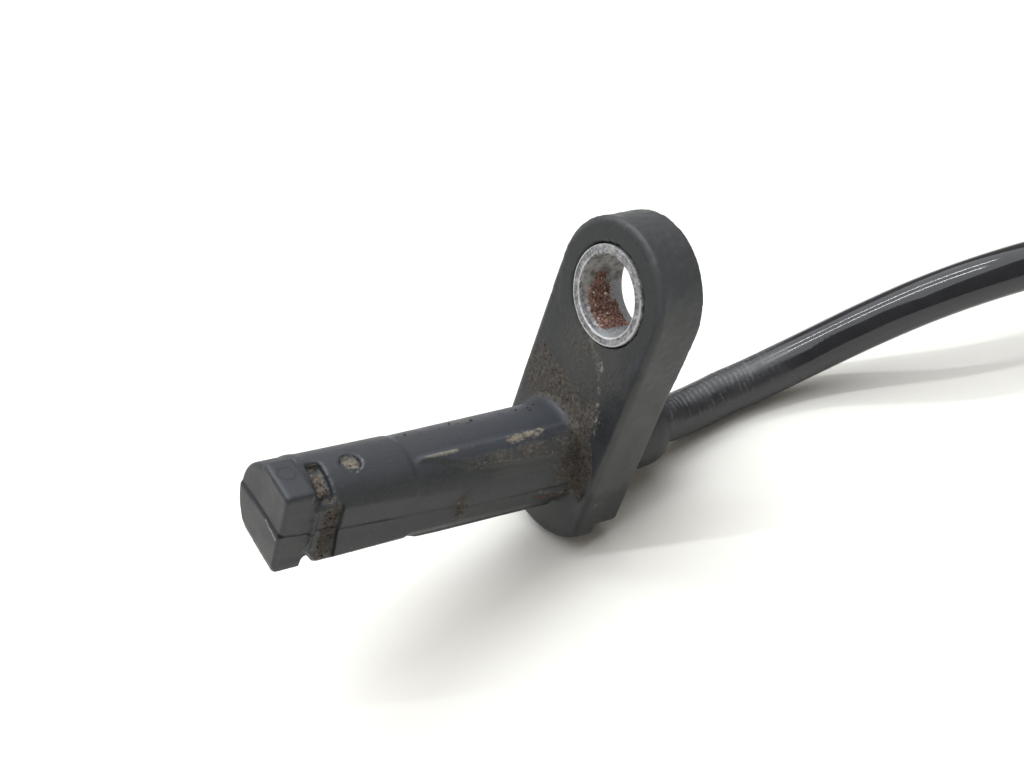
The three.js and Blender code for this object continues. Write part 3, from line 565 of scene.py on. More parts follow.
def streak(places, start, end, width):
    """A soft line, 1 from its start to its end."""
    a, b = np.array(start, float), np.array(end, float)
    d = b - a
    t = np.clip((places - a) @ d / (d @ d), 0, 1)
    gap = np.linalg.norm(places - a - t[:, None] * d, axis=1)
    return np.exp(-(gap / width) ** 2)


def polar(places):
    """Angle round the head in degrees, from the near side up, and distance from the head axis."""
    angle = np.degrees(np.arctan2(places[:, 2], -places[:, 1]))
    return angle, np.hypot(places[:, 1], places[:, 2])


def band(value, low, high, soft):
    """1 from low to high, with soft ends."""
    return ramp(value, low - soft, low + soft) * (1 - ramp(value, high - soft, high + soft))


def most(*masks):
    return np.clip(np.maximum.reduce(masks), 0, 1)


def bolt_distance(places):
    return np.hypot(places[:, 1], places[:, 2] - BOLT_OFFSET)


def flange_end(places, inner, outer, low, high):
    """The flange's round end, from one distance round the bolt out and from one height up."""
    return ramp(bolt_distance(places), inner, outer) * ramp(places[:, 2], low, high)


def on_tip_face(x):
    return 1 - ramp(x, 0.1 - HEAD_LENGTH, 0.4 - HEAD_LENGTH)


def parting_height(x):
    """Height of the parting line along the near side."""
    return np.interp(x, (-HEAD_LENGTH, -33.6, -32.2, -31.3, -28.4, -21.2, -14),
                     (0.6, 0.5, 0.2, 0.42, 0.38, 0.05, -0.14))


def crease_height(y):
    """Height of the parting step across the tip face."""
    return np.interp(y, (-3.9, -2.5, 0.4, 4.2), (0.55, 0.5, 0.55, 0.15))


# Housing: an even skin with its small forms, in mm
VOXEL = 0.2
SMOOTH_PASSES = 1
RIM_SWELL = 0.3
REAR_RIM_SWELL = 0.22
UNDERSIDE_SWELL = 0.052
TOP_SINK = 0.018
PARTING_STEP = 0.13
TIP_STEP = 0.17
NOTCH_AT = -30.9
NOTCH_HALF_WIDTH = 0.8
NOTCH_SHARE = 0.19
DIRT_RELIEF = 0.09
KNOCK_RELIEF = 0.05
BURR_RELIEF = 0.10
TABLE_GAP = 0.02


def remeshed_housing():
    """The housing's outer skin as an even mesh, in its own frame, in mm."""
    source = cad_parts["housing"]
    mesh = source.data.copy()
    mesh.transform(LOCAL.inverted() @ source.matrix_world)
    piece = bpy.data.objects.new("sensor_body", mesh)
    bpy.context.scene.collection.objects.link(piece)
    weld = piece.modifiers.new("weld", "WELD")
    weld.merge_threshold = 0.001
    remesh = piece.modifiers.new("remesh", "REMESH")
    remesh.mode = "VOXEL"
    remesh.voxel_size = VOXEL
    smooth = piece.modifiers.new("smooth", "SMOOTH")
    smooth.factor = 0.5
    smooth.iterations = SMOOTH_PASSES
    graph = bpy.context.evaluated_depsgraph_get()
    made = bpy.data.meshes.new_from_object(piece.evaluated_get(graph))
    piece.modifiers.clear()
    piece.data = made
    return piece


def inside_faces(mesh):
    """Faces of the hollow that nothing shows: carrier room, wire chamber and the deep lead bore."""
    x, y, z = triples(mesh.polygons, "center").T
    radius = np.hypot(y, z)
    room = (abs(y) < 3.4) & (abs(z) < 3.1) & (x > -33.9) & (x < -12.2)
    chamber = (radius < 4.05) & (x > -12.9) & (x < 6.1)
    bore = (radius < 3.35) & (x > 5.2) & (x < 13.9)
    return room | chamber | bore


def without_faces(piece, dropped):
    mesh = piece.data
    places = places_of(mesh)
    kept = [tuple(p.vertices) for p, gone in zip(mesh.polygons, dropped) if not gone]
    used = sorted({v for face in kept for v in face})
    index = {v: i for i, v in enumerate(used)}
    fresh = bpy.data.meshes.new("sensor_body")
    fresh.from_pydata([tuple(places[v]) for v in used], [], [tuple(index[v] for v in f) for f in kept])
    fresh.polygons.foreach_set("use_smooth", [True] * len(fresh.polygons))
    fresh.update()
    piece.data = fresh
    bpy.data.meshes.remove(mesh)


def fit_openings(places):
    """Draws the flange's hole in to the bushing and the boss's mouth in to the lead."""
    x, y, z = places.T
    from_bolt = bolt_distance(places)
    hole = (from_bolt < BUSHING_RADIUS + 0.5) & (x > -0.5) & (x < FLANGE_THICKNESS + 0.5)
    beyond = np.clip((from_bolt - BUSHING_RADIUS - 0.2) / 0.3, 0, 1)
    fitted = BUSHING_RADIUS - 0.02 + 0.52 * beyond
    shrink = np.where(hole, fitted / np.maximum(from_bolt, 0.01), 1)
    places[:, 1] = y * shrink
    places[:, 2] = BOLT_OFFSET + (z - BOLT_OFFSET) * shrink
    radius = np.hypot(y, z)
    lip = (radius < 3.4) & (x > 12.8)
    places[:, 1:] *= np.where(lip, MOUTH_RADIUS / np.maximum(radius, 0.01), 1)[:, None]


def swell_outline(places, normals):
    """Swells the flange at its edges, most at the back of its end, and lets the head hang lower."""
    x, y, z = places.T
    rim = band(x, -0.2, FLANGE_THICKNESS + 0.2, 0.15) * (
        (np.abs(y) > 7.0) | ((bolt_distance(places) > 7.0) & (z > BOLT_OFFSET)) | (z < -6.5))
    swell = RIM_SWELL + REAR_RIM_SWELL * ramp(x, 1.5, 5.4) * ramp(z, 12, 18)
    places[:, 1:] += normals[:, 1:] * (swell * rim)[:, None]
    angle, _ = polar(places)
    shank = (1 - ramp(x, -1.6, -0.6)) * ramp(x, -31.0, -29.8)
    low = shank * band(angle, -155, -18, 12)
    top = shank * band(angle, 65, 150, 12)
    places[:, 1:] *= (1 + UNDERSIDE_SWELL * low - TOP_SINK * top)[:, None]


def step_parting(places, normals):
    """Sets the moulding's lower half in on the near side, and proud on the tip face."""
    x, y, z = places.T
    near = ramp(-y, 2.6, 3.4) * (1 - ramp(x, -2.5, -1.0)) * ramp(x, 0.2 - HEAD_LENGTH, 0.6 - HEAD_LENGTH)
    below = (1 - ramp(z - parting_height(x), -0.2, 0.05)) * ramp(z, -3.6, -2.6)
    places -= normals * (PARTING_STEP * near * below)[:, None]
    proud = on_tip_face(x) * (1 - ramp(z - crease_height(y), -0.25, 0.05)) * ramp(z, -4.2, -3.4)
    places[:, 0] -= TIP_STEP * proud


def cut_notch(places):
    """Cuts the notch behind the tip block, on the underside."""
    angle, _ = polar(places)
    across = np.clip(1 - np.abs(places[:, 0] - NOTCH_AT) / NOTCH_HALF_WIDTH, 0, 1)
    places[:, 1:] *= (1 - NOTCH_SHARE * across * band(angle, -140, -36, 8))[:, None]


def fill_dimple(places):
    """Fills most of the dimple with dirt."""
    outward = np.array((0, -math.cos(DIMPLE_ANGLE), math.sin(DIMPLE_ANGLE)))
    flat = places - (SHANK_RADIUS * outward + (DIMPLE_AT, 0, 0))
    depth = flat @ outward
    across = np.linalg.norm(flat - depth[:, None] * outward, axis=1)
    filled = (across < DIMPLE_RADIUS - 0.03) & (depth < -0.25)
    raised = -0.32 - 0.12 * (1 - (across / DIMPLE_RADIUS) ** 2)
    places += outward * np.where(filled, raised - depth, 0)[:, None]


def roughen(places, normals, masks):
    """Adds lumpy dirt, and small knocks round the flange's end."""
    lumpy = np.clip(masks["crust"] + 0.6 * masks["brown"] + 0.5 * masks["tan"], 0, 1)
    lumps = np.clip(0.35 + fractal(places, 0.55, 4, 21.0), -0.2, 1.0)
    places += normals * (DIRT_RELIEF * lumpy * lumps)[:, None]
    worn = flange_end(places, 7.1, 7.5, 12, 16)
    knocks = np.clip(fractal(places, 0.8, 3, 27.0), -1, 0.6)
    places += normals * (KNOCK_RELIEF * worn * knocks)[:, None]


def raise_burr(places, normals):
    """Adds a ragged burr along the lower edge of the head."""
    angle, radius = polar(places)
    burr = np.exp(-((angle + 62) / 5) ** 2) * (places[:, 0] > -24) * (places[:, 0] < -2) * (radius > 4.7)
    ragged = np.clip(fractal(places, 0.7, 3, 33.0) + 0.1, 0, 1)
    places += normals * (BURR_RELIEF * burr * ragged)[:, None]


# Dirt and wear of the housing, with painted light and shade among them
class Skin:
    """The housing's surface, with the regions and unevenness that dirt and wear keep to.

    The root is the corner between head and flange. The front and the side are the flange's.
    """

    def __init__(self, places):
        self.places = places
        self.x, self.y, self.z = places.T
        self.angle, self.radius = polar(places)
        self.root = 1 - ramp(np.abs(self.x), 0.5, 1.6)
        self.front = 1 - ramp(np.abs(self.x), 0.25, 0.6)
        self.side = ramp(-self.y, 7.3, 7.6)
        self.head = (1 - ramp(self.x, -1.2, -0.4)) * (self.radius < 6.2)
        self.from_dimple = np.hypot(self.x - DIMPLE_DIRT[0], self.y - DIMPLE_DIRT[1])
        self.patches = fractal(places, 2.4, 3, 3.1)
        self.clumps = fractal(places, 0.9, 3, 7.7)
        self.flecks = fractal(places, 0.38, 2, 12.3)

    def blob(self, centre, radii):
        return blob(self.places, centre, radii)

    def streak(self, start, end, width):
        return streak(self.places, start, end, width)


def film_mask(s):
    """Olive film on the flange and along the head."""
    return most(
        s.front * s.blob((0, -1, 13), (2, 6, 6)),
        s.side * (0.75 + 0.4 * s.patches) * (0.25 + 0.75 * ramp(s.z, -2.5, 2)),
        0.8 * s.front * s.blob((0, 0, -7), (2, 6, 3)),
        0.7 * s.head * band(s.angle, 25, 60, 6) * band(s.x, -12, -1, 2))


def haze_mask(s):
    """Pale haze over the flange's end."""
    return flange_end(s.places, 7.2, 7.6, 14, 18) * ramp(s.z, 21, 25) * (1.0 + 0.4 * s.patches)


def brown_mask(s):
    """Brown dust on the flange's front, at the root and in the groove."""
    cloud = s.blob((0, 1.5, 7.2), (1.3, 5.8, 2.9)) + 0.7 * s.blob((0, 5.5, 5.5), (1.2, 2.2, 4.0))
    return most(
        s.front * cloud * (0.85 + 0.4 * s.patches),
        0.8 * s.front * s.blob((0, -3.6, 7.4), (1.2, 1.6, 3.0)),
        0.75 * s.root * band(s.angle, -20, 80, 10) * (s.radius < 7.2),
        0.7 * s.head * ramp(s.x, -7.0, -1.0) * band(s.angle, 0, 62, 10) * (1 + 0.5 * s.patches),
        0.5 * s.head * band(s.angle, 42, 60, 5) * band(s.x, -15, -2, 2) * (1 + 0.5 * s.patches),
        0.7 * band(s.x, -30.3, -28.6, 0.35) * ramp(-s.y, 2.4, 3.4) * band(s.radius, 3.3, 5.2, 0.2)
        * (1 + 0.5 * s.patches),
        0.85 * s.blob((-14.7, -4.9, -0.4), (0.9, 0.9, 2.0)),
        0.5 * s.side * s.blob((2.6, -7.75, -4.4), (2.2, 1, 1.2)),
        0.35 * s.front * s.blob((0, 0, 13), (1, 7, 5)) * (1 + s.patches))


def crust_mask(s):
    """Dark crusts at the root, in the groove and at the foot of the tip block."""
    return most(
        0.8 * s.root * band(s.angle, -12, 58, 8) * (s.radius < 6.9) * (1 + 0.5 * s.clumps),
        0.55 * s.front * s.blob((0, -3.9, 6.2), (1.2, 1.5, 1.8)) * (1 + s.clumps),
        0.6 * s.head * ramp(s.x, -4.5, -0.8) * band(s.angle, 2, 50, 8) * (1 + 0.6 * s.clumps),
        0.75 * band(s.x, -30.2, -28.7, 0.3) * ramp(-s.y, 2.9, 3.5) * band(s.radius, 3.3, 4.9, 0.2)
        * (0.9 + 0.7 * s.clumps),
        0.55 * band(s.x, -30.4, -29.2, 0.3) * band(s.angle, 50, 75, 5) * (s.radius < 5.0) * (0.8 + s.clumps),
        0.5 * s.blob((-14.55, -4.8, -0.9), (0.5, 0.7, 1.3)),
        0.5 * s.blob((-31.0, 0, -4.5), (0.8, 4, 0.8)))


def tan_mask(s):
    """Tan soil in the groove, in the dimple and in streaks along the head."""
    return most(
        0.85 * band(s.x, -31.1, -29.3, 0.25) * band(s.angle, 52, 106, 4) * (s.radius < 4.95)
        * (0.85 + 0.8 * s.clumps),
        0.5 * s.blob((-29.8, -2.9, 3.4), (0.6, 1.0, 1.0)) * (1 + 0.8 * s.clumps),
        0.8 * s.blob(DIMPLE_DIRT, (1.1, 1.1, 0.6)) * (1 + 0.4 * s.clumps),
        s.streak((-8.4, -2.1, 5.4), (-4.6, -2.0, 5.5), 0.68) * (0.9 + 0.6 * s.clumps),
        0.3 * s.streak((-6.0, -3.9, 4.0), (-2.5, -4.3, 3.6), 0.6) * (1 + s.clumps),
        0.6 * s.side * s.blob((1.3, -7.75, -1.6), (0.9, 0.6, 0.7)),
        0.4 * s.front * s.blob((0, -1.5, 7.2), (0.8, 3.2, 1.5)) * (1 + s.clumps),
        0.36 * s.blob((-15.0, -4.7, 0.5), (0.5, 0.6, 1.1)),
        0.5 * s.streak((-4.8, -5.2, -0.7), (-0.8, -5.35, -1.7), 0.28))


def pale_mask(s):
    """Pale scuffs along the head and on the flange."""
    return most(
        0.95 * s.streak((-19.6, -1.9, 5.25), (-15.0, -1.98, 5.32), 0.34),
        0.6 * s.streak((-15.0, -1.98, 5.32), (-9.5, -2.05, 5.4), 0.24) * (0.9 + 0.6 * s.clumps),
        0.36 * s.streak((-13.4, -3.6, 4.3), (-8.0, -4.0, 3.9), 0.22),
        0.95 * s.streak((-8.2, -2.1, 5.5), (-4.6, -1.9, 5.6), 0.5) * (0.9 + 0.8 * s.clumps),
        0.5 * s.blob(DIMPLE_DIRT, (1.1, 1.1, 0.6)),
        0.34 * s.front * s.streak((0, 0.3, 15.6), (0, -2.6, 13.2), 0.9) * (1 + 0.8 * s.clumps),
        0.35 * s.streak((-5.0, -5.25, -0.4), (-1.5, -5.35, -0.9), 0.22))


def rusty_mask(s):
    """Rust stains near the root."""
    return most(
        0.6 * s.streak((-8.0, -2.2, 5.5), (-5.4, -2.1, 5.6), 0.3) * (1 + s.clumps),
        0.8 * s.streak((-5.2, -5.25, -1.4), (-0.6, -5.4, -2.2), 0.4),
        0.5 * s.front * s.blob((0, -2.6, 6.4), (0.8, 1.4, 1.0)) * (1 + s.clumps))


def wear_and_highlight_mask(s):
    """Bare edges and scratches, and painted highlights along the groove's rim and on one side of the dimple's
    rim.
    """
    return most(
        0.57 * s.front * s.streak((0, -2.6, 14.0), (0, -5.2, 6.6), 0.5) * (0.85 + 0.5 * s.clumps),
        0.55 * s.front * s.streak((0, -0.5, 15.2), (0, -3.0, 12.0), 1.2) * ramp(s.flecks, 0.05, 0.5),
        0.9 * s.streak((0.2, 1.0, 28.1), (0.3, 0.6, 28.1), 0.25),
        0.5 * s.streak((0.6, -0.6, 28.2), (1.2, -3.2, 27.6), 0.5) * ramp(s.flecks, -0.1, 0.4),
        0.45 * s.streak((4.0, -0.8, 28.2), (5.2, -3.6, 27.4), 0.8) * ramp(s.flecks, 0.1, 0.5),
        0.34 * band(s.x, -29.35, -29.0, 0.08) * band(s.angle, 40, 98, 3) * (s.radius > 4.7),
        0.6 * band(s.from_dimple, 1.12, 1.34, 0.06) * (s.z > 4.6) * ramp(s.x - s.y, -26.0, -25.2),
        0.85 * (1 - ramp(s.x, -34.5, -34.3)) * s.streak((-34.5, -0.9, 0.3), (-34.5, -3.2, -0.1), 0.2),
        0.4 * s.streak((0, -5.2, -3.6), (0, -6.6, -1.2), 0.25) * ramp(s.flecks, -0.1, 0.3))


def gloss_mask(s):
    """Smoother plastic beside the flange's edge."""
    return most(
        s.front * s.blob((0, -6.4, 8.0), (1, 1.6, 5.0)) * (0.8 + 0.4 * s.clumps),
        0.5 * s.front * s.blob((0, -6.5, 3.5), (1, 1.2, 2.5)))


def line_and_shade_mask(s):
    """The parting line and the round mark, with painted shade along the parting step, in the crevice at the
    root, along the crease of the tip face and at the groove's edge.
    """
    parting = np.exp(-((s.z - parting_height(s.x)) / 0.19) ** 2) * ramp(-s.y, 2.9, 3.4) * (s.x < -1.2)
    parting *= 1.05 - 0.5 * ramp(s.x, -24, -18)
    crevice = np.exp(-((s.radius - 6.95) / 0.22) ** 2) * s.front * band(s.angle, -18, 46, 6)
    crevice *= 0.75 + 0.6 * s.clumps
    crease = on_tip_face(s.x) * np.exp(-((s.z - crease_height(s.y) - 0.08) / 0.18) ** 2)
    ring = np.exp(-((np.hypot(s.x + 33.0, s.y + 0.3) - 0.85) / 0.11) ** 2) * (s.z > 5.1)
    groove_edge = np.exp(-((s.x + 28.5) / 0.15) ** 2) * ramp(-s.y, 3.2, 3.8) * band(s.z, -3.5, 3.4, 0.2)
    return most(
        parting * (0.7 + 0.3 * ramp(s.patches, -0.4, 0.3)),
        0.6 * crease,
        0.4 * ring,
        0.8 * crevice,
        0.8 * groove_edge)


HOUSING_MASKS = {
    "film": film_mask, "haze": haze_mask, "brown": brown_mask, "crust": crust_mask,
    "tan": tan_mask, "pale": pale_mask, "rusty": rusty_mask, "wear_and_highlight": wear_and_highlight_mask,
    "gloss": gloss_mask, "line": line_and_shade_mask,
}


def make_housing():
    piece = remeshed_housing()
    without_faces(piece, inside_faces(piece.data))
    mesh = piece.data
    places = places_of(mesh)
    normals = normals_of(mesh)
    fit_openings(places)
    swell_outline(places, normals)
    step_parting(places, normals)
    cut_notch(places)
    fill_dimple(places)
    set_places(mesh, places)
    skin = Skin(places)
    masks = {name: mask(skin) for name, mask in HOUSING_MASKS.items()}
    normals = normals_of(mesh)
    roughen(places, normals, masks)
    raise_burr(places, normals)
    set_places(mesh, places)
    paint_masks(mesh, masks)
    mesh.transform(LOCAL)
    world = places_of(mesh)
    world[:, 2] = np.maximum(world[:, 2], TABLE_GAP * MM)
    set_places(mesh, world)
    paint_light_and_shade(mesh, places)
    mesh.materials.append(housing_finish())
    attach(piece, "root")
    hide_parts("housing")
    return places, masks


def paint_light_and_shade(mesh, places):
    """Marks painted light where the plastic faces up and on the flange's round end, and painted shade where
    it faces down and on the flange's near side, as the sensor lies.
    """
    facing = normals_of(mesh)[:, 2]
    end = flange_end(places, 7.1, 7.6, 14, 18)
    side_low = ramp(-places[:, 1], 7.3, 7.8) * (1 - ramp(places[:, 2], -1, 3))
    side_high = ramp(-places[:, 1], 7.0, 7.6) * band(places[:, 2], 12, 22, 2)
    paint(mesh, "painted_light", np.maximum(ramp(facing, 0.35, 0.85), 0.75 * end))
    paint(mesh, "painted_shade", np.maximum(ramp(-facing, 0.12, 0.5), 0.8 * side_low + 0.35 * side_high))


# Bushing: turned profile with rolled edges, and rust standing inside its bore, in mm
OUTER_ROUND = 0.16
FRONT_BORE_ROUND = 0.19
REAR_BORE_ROUND = 0.3
VALLEY_DEPTH = 0.04
VALLEY_WIDTH = 0.65
ARC_STEPS = 7
BUSHING_ROWS = 288


def arc(cx, cr, size, start, end):
    turns = [math.radians(start + (end - start) * i / ARC_STEPS) for i in range(ARC_STEPS + 1)]
    return [(cx + size * math.cos(a), cr + size * math.sin(a)) for a in turns]


def straight(x0, r0, x1, r1, steps):
    shares = [i / steps for i in range(1, steps)]
    return [(x0 + (x1 - x0) * t, r0 + (r1 - r0) * t) for t in shares]


def bushing_profile():
    """Section of the bushing as places along it and radii, from the front's outer edge inwards."""
    front, back = BUSHING_FRONT, BUSHING_BACK
    rim = BUSHING_RADIUS - OUTER_ROUND
    # A shallow valley lies between the outer and the inner ring of the front face
    valley = [(front + VALLEY_DEPTH * math.sin(math.pi * i / 12), rim - i / 12 * VALLEY_WIDTH)
              for i in range(1, 12)]
    return np.array([
        *arc(front + OUTER_ROUND, rim, OUTER_ROUND, 90, 180),
        *valley,
        *arc(front + FRONT_BORE_ROUND, BORE_RADIUS + FRONT_BORE_ROUND, FRONT_BORE_ROUND, 180, 270),
        *straight(front + 0.35, BORE_RADIUS, back - 0.35, BORE_RADIUS, 56),
        *arc(back - REAR_BORE_ROUND, BORE_RADIUS + REAR_BORE_ROUND, REAR_BORE_ROUND, 270, 360),
        *arc(back - OUTER_ROUND, rim, OUTER_ROUND, 0, 90),
        *straight(back - OUTER_ROUND, BUSHING_RADIUS, front + OUTER_ROUND, BUSHING_RADIUS, 4)])


def bushing_rust_mask(x, degrees, bore, clumps):
    """Rust low in the bore on the far side, wide below and narrow above."""
    low = band(degrees, -96, -50, 8) * band(x, 0.75, 4.6, 0.3)
    middle = band(degrees, -62, -22, 8) * band(x, 0.95, 3.9, 0.35)
    upper = band(degrees, -30, -2, 7) * band(x, 1.7, 3.3, 0.4)
    return bore * most(low, middle, upper) * np.clip(0.92 + 0.55 * clumps, 0, 1.2)


def bushing_masks(x, degrees, radius, bore, rust):
    """Soot, white zinc corrosion and bright edges, besides the rust."""
    front_face = 1 - ramp(x, BUSHING_FRONT + 0.1, BUSHING_FRONT + 0.3)
    return {
        "rust": rust,
        "soot": bore * most(
            0.8 * band(degrees, -40, 120, 20) * band(x, 0.3, 5.5, 0.3),
            0.7 * ramp(x, 0.2, 0.5) * (degrees > 60)),
        "zinc": bore * most(
            0.95 * band(degrees, -100, -20, 10) * band(x, 3.6, 6.1, 0.4),
            0.6 * band(degrees, -130, -85, 10)),
        "bright": (1 - 0.75 * band(degrees, 35, 150, 20)) * most(
            front_face * band(radius, BUSHING_RADIUS - 0.22, BUSHING_RADIUS + 0.1, 0.05) * 0.8,
            0.8 * band(radius, BORE_RADIUS + 0.02, BORE_RADIUS + 0.2, 0.06) * (x < 0.2)),
    }


def make_bushing():
    profile = bushing_profile()
    turn = 2 * math.pi * np.arange(BUSHING_ROWS) / BUSHING_ROWS
    x = np.tile(profile[:, 0], (BUSHING_ROWS, 1))
    r = np.tile(profile[:, 1], (BUSHING_ROWS, 1))
    places = np.stack([x, r * np.cos(turn)[:, None], r * np.sin(turn)[:, None]], axis=2).reshape(-1, 3)
    degrees = np.degrees(np.arctan2(places[:, 2], places[:, 1]))
    radius = np.hypot(places[:, 1], places[:, 2])
    bore = 1 - ramp(radius, BORE_RADIUS + 0.05, BORE_RADIUS + 0.3)
    clumps = fractal(places, 0.9, 4, 41.0)
    grains = fractal(places, 0.28, 3, 47.0)
    rust = bushing_rust_mask(places[:, 0], degrees, bore, clumps)
    height = np.clip(rust, 0, 1) * np.clip(0.30 + 0.30 * clumps + 0.26 * grains, 0.02, 0.62)
    ripple = 0.02 * clumps * (1 - ramp(places[:, 0], BUSHING_FRONT + 0.3, BUSHING_FRONT + 0.6))
    places[:, 0] -= np.clip(ripple, -0.02, 0.02)
    places[:, 1:] *= (1 - height / np.maximum(radius, 0.1))[:, None]
    masks = bushing_masks(places[:, 0], degrees, radius, bore, rust)
    places[:, 2] += BOLT_OFFSET
    faces = grid_faces(BUSHING_ROWS, len(profile), closed_rows=True)
    piece = new_object("bushing", places, [f[::-1] for f in faces])
    paint_masks(piece.data, masks)
    piece.data.transform(LOCAL)
    piece.data.materials.append(bushing_finish())
    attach(piece, "root")
    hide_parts("mounting_bushing")
    return places, rust


# Grains of dirt and rust that stand on a surface
PALE_SHARE = 0.05


def ball(detail):
    mesh = bpy.data.meshes.new("grain")
    form = bmesh.new()
    bmesh.ops.create_icosphere(form, subdivisions=detail, radius=1)
    form.to_mesh(mesh)
    form.free()
    places = places_of(mesh)
    faces = [tuple(p.vertices) for p in mesh.polygons]
    bpy.data.meshes.remove(mesh)
    return places, faces


def scatter(name, places, weights, count, small, large, material, seed):
    """Small uneven grains on the given places, more where the weights are high."""
    rng = np.random.default_rng(seed)
    chance = np.clip(weights, 0, None) ** 2
    chosen = rng.choice(len(places), count, replace=False, p=chance / chance.sum())
    form, faces = ball(2)
    pale = rng.random(count) < PALE_SHARE
    all_places, all_faces = [], []
    for n, i in enumerate(chosen):
        size = small + (large - small) * rng.random() ** 3
        dent = np.array([noise.noise(Vector(p) * 1.6 + Vector((n * 3.7, 0, 0))) for p in form])
        grain = form * (1 + 0.45 * dent)[:, None] * size * rng.uniform(0.6, 1.2, 3)
        start = len(all_places) * len(form)
        all_places.append(grain + places[i])
        all_faces += [tuple(v + start for v in f) for f in faces]
    piece = new_object(name, np.concatenate(all_places), all_faces)
    paint(piece.data, "pale", np.repeat(pale, len(form)))
    piece.data.transform(LOCAL)
    piece.data.materials.append(material)
    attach(piece, "root")


def foot_dirt(places):
    """Dirt under the flange's foot."""
    return blob(places, (5.4, -7.0, -4.6), (1.0, 1.2, 1.0)) + blob(places, (2.9, -5.5, -8.0), (0.8, 2.5, 1.0))


def head_edges(places):
    """The head's two long edges, along its top and along its underside."""
    angle, radius = polar(places)
    on_head = (radius < 6.2) * band(places[:, 0], -21, -1.5, 1)
    return on_head * (np.exp(-((angle - 112) / 7) ** 2) + 1.4 * np.exp(-((angle + 60) / 6) ** 2))


body_places, body_masks = make_housing()
bushing_places, bushing_rust = make_bushing()
seen_dirt = body_masks["crust"] + 0.35 * body_masks["brown"] + 0.25 * body_masks["tan"]
in_bore = bolt_distance(bushing_places) < BORE_RADIUS + 0.02
soil = grain_finish()
scatter("dirt_grains", body_places, seen_dirt + 0.8 * foot_dirt(body_places), count=420, small=0.04,
        large=0.17, material=soil, seed=5)
scatter("crumbs", body_places, head_edges(body_places), count=46, small=0.05, large=0.19,
        material=soil, seed=15)
scatter("rust_grains", bushing_places, bushing_rust * in_bore, count=260, small=0.05, large=0.2,
        material=rust_grain_finish(), seed=9)

cord.data.materials.append(jacket_finish())
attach(cord, "root")
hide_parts("cable", "cable_coil", "cable_tail")


# Pieces whose solids are right: edges rounded by so many metres, and their own finish
def dress(node, material, edge):
    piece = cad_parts[node]
    piece.data.materials.clear()
    piece.data.materials.append(material)
    weld = piece.modifiers.new("weld", "WELD")
    weld.merge_threshold = 0.000002
    if edge:
        bevel = piece.modifiers.new("bevel", "BEVEL")
        bevel.width = edge
        bevel.segments = 3
        bevel.limit_method = "ANGLE"
        bevel.angle_limit = math.radians(38)
    for polygon in piece.data.polygons:
        polygon.use_smooth = True


metal = metal_finish("tinned_copper", (0.42, 0.40, 0.34), (0.62, 0.58, 0.50), 0.38)
magnet = metal_finish("magnet_metal", (0.16, 0.16, 0.17), (0.27, 0.27, 0.28), 0.35)
for node, material, edge in (
        ("terminal_a", metal, 0.00008), ("terminal_b", metal, 0.00008), ("bias_magnet", magnet, 0.0001),
        ("chip_lead_a", metal, 0.0), ("chip_lead_b", metal, 0.0),
        ("splice_crimp_a", metal, 0.0), ("splice_crimp_b", metal, 0.0)):
    dress(node, material, edge)
for node, name, dark, light, roughness, edge in (
        ("connector_housing", "shell_plastic", (0.016, 0.017, 0.019), (0.024, 0.025, 0.028), 0.5, 0.00022),
        ("connector_boot", "boot_rubber", (0.011, 0.0115, 0.0125), (0.02, 0.02, 0.021), 0.55, 0.00015),
        ("connector_seal", "seal_rubber", (0.36, 0.085, 0.024), (0.44, 0.13, 0.04), 0.6, 0.00015),
        ("terminal_lock", "lock_plastic", (0.17, 0.175, 0.18), (0.23, 0.235, 0.24), 0.52, 0.0001),
        ("coil_tie", "tie_plastic", (0.012, 0.0125, 0.0135), (0.02, 0.021, 0.023), 0.42, 0.00015),
        ("element_carrier", "carrier_plastic", (0.25, 0.19, 0.11), (0.33, 0.26, 0.16), 0.55, 0.0),
        ("sensing_chip", "chip_package", (0.011, 0.011, 0.012), (0.018, 0.018, 0.019), 0.5, 0.00006),
        ("filter_capacitor", "capacitor_ceramic", (0.34, 0.21, 0.10), (0.44, 0.29, 0.15), 0.5, 0.00005),
        ("core_wire_a", "core_insulation_a", (0.025, 0.068, 0.22), (0.034, 0.09, 0.28), 0.42, 0.0),
        ("core_wire_b", "core_insulation_b", (0.13, 0.05, 0.02), (0.18, 0.075, 0.03), 0.42, 0.0)):
    dress(node, moulded_finish(name, dark, light, roughness), edge)


# Floor and light
FLOOR_HALF = 0.7
WARM = (1.0, 0.94, 0.86)
COOL = (0.95, 0.985, 1.0)
WORLD_LIGHT = 0.29
SOFTBOX_ENDS = ((-0.7, 0.25, 0.85), (0.8, 0.25, 0.85))
SOFTBOX_WIDTH = 1.5
SOFTBOX_POWER = 12.4
TUBE_FAR_ENDS = ((0.40, 0.20, 0.96), (-0.16, 0.69, 0.955))
TUBE_NEAR_ENDS = ((0.15, -0.035, 0.96), (-0.42, 0.375, 0.955))
TUBE_WIDTH = 0.028
TUBE_POWER = 2.0


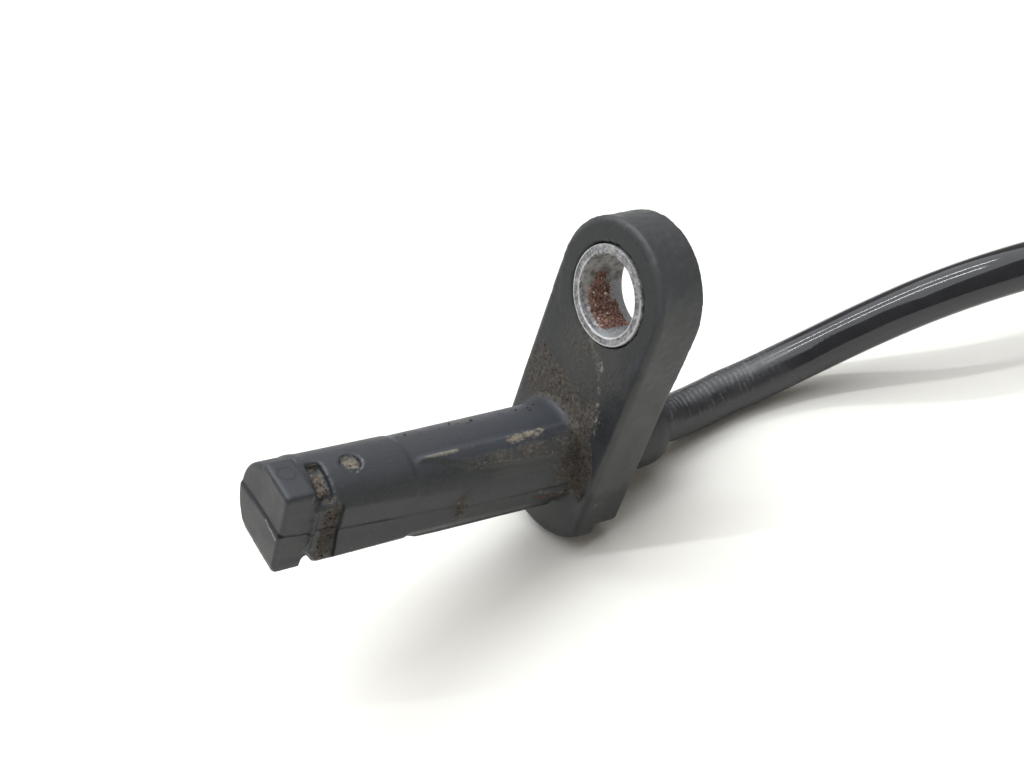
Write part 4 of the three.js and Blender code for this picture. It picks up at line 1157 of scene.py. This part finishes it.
def make_floor():
    corners = [(x * FLOOR_HALF, y * FLOOR_HALF, 0) for x, y in ((-1, -1), (1, -1), (1, 1), (-1, 1))]
    floor = new_object("floor", corners, [(0, 1, 2, 3)], smooth=False)
    f = Finish("floor", color=(0.97, 0.95, 0.91), roughness=0.6)
    floor.data.materials.append(f.material)


def area_light(name, ends, width, power, color):
    """A flat lamp from one end to the other, turned towards the sensor."""
    start, end = (Vector(e) for e in ends)
    middle = (start + end) / 2
    along = (end - start).normalized()
    back = middle - along * (middle @ along)
    back.normalize()
    data = bpy.data.lights.new(name, "AREA")
    data.shape = "RECTANGLE"
    data.size, data.size_y = (end - start).length, width
    data.energy = power
    data.color = color
    lamp = bpy.data.objects.new(name, data)
    bpy.context.scene.collection.objects.link(lamp)
    turn = Matrix((along, back.cross(along), back)).transposed()
    lamp.matrix_world = Matrix.Translation(middle) @ turn.to_4x4()


def make_lights():
    world = bpy.data.worlds.new("studio")
    bpy.context.scene.world = world
    world.use_nodes = True
    tree = world.node_tree
    background = tree.nodes["Background"]
    background.inputs["Color"].default_value = (*WARM, 1)
    background.inputs["Strength"].default_value = WORLD_LIGHT
    # Past the floor's edge the camera sees plain white
    seen = tree.nodes.new("ShaderNodeBackground")
    seen.inputs["Color"].default_value = (1, 1, 1, 1)
    path = tree.nodes.new("ShaderNodeLightPath")
    choice = tree.nodes.new("ShaderNodeMixShader")
    tree.links.new(path.outputs["Is Camera Ray"], choice.inputs[0])
    tree.links.new(background.outputs[0], choice.inputs[1])
    tree.links.new(seen.outputs[0], choice.inputs[2])
    tree.links.new(choice.outputs[0], tree.nodes["World Output"].inputs["Surface"])
    area_light("softbox", SOFTBOX_ENDS, SOFTBOX_WIDTH, SOFTBOX_POWER, COOL)
    # Two ceiling tubes, roughly along the lead, draw the streaks on its jacket
    area_light("tube_far", TUBE_FAR_ENDS, TUBE_WIDTH, TUBE_POWER, COOL)
    area_light("tube_near", TUBE_NEAR_ENDS, TUBE_WIDTH, TUBE_POWER, COOL)


make_floor()
make_lights()
bpy.context.scene.view_settings.view_transform = "Standard"
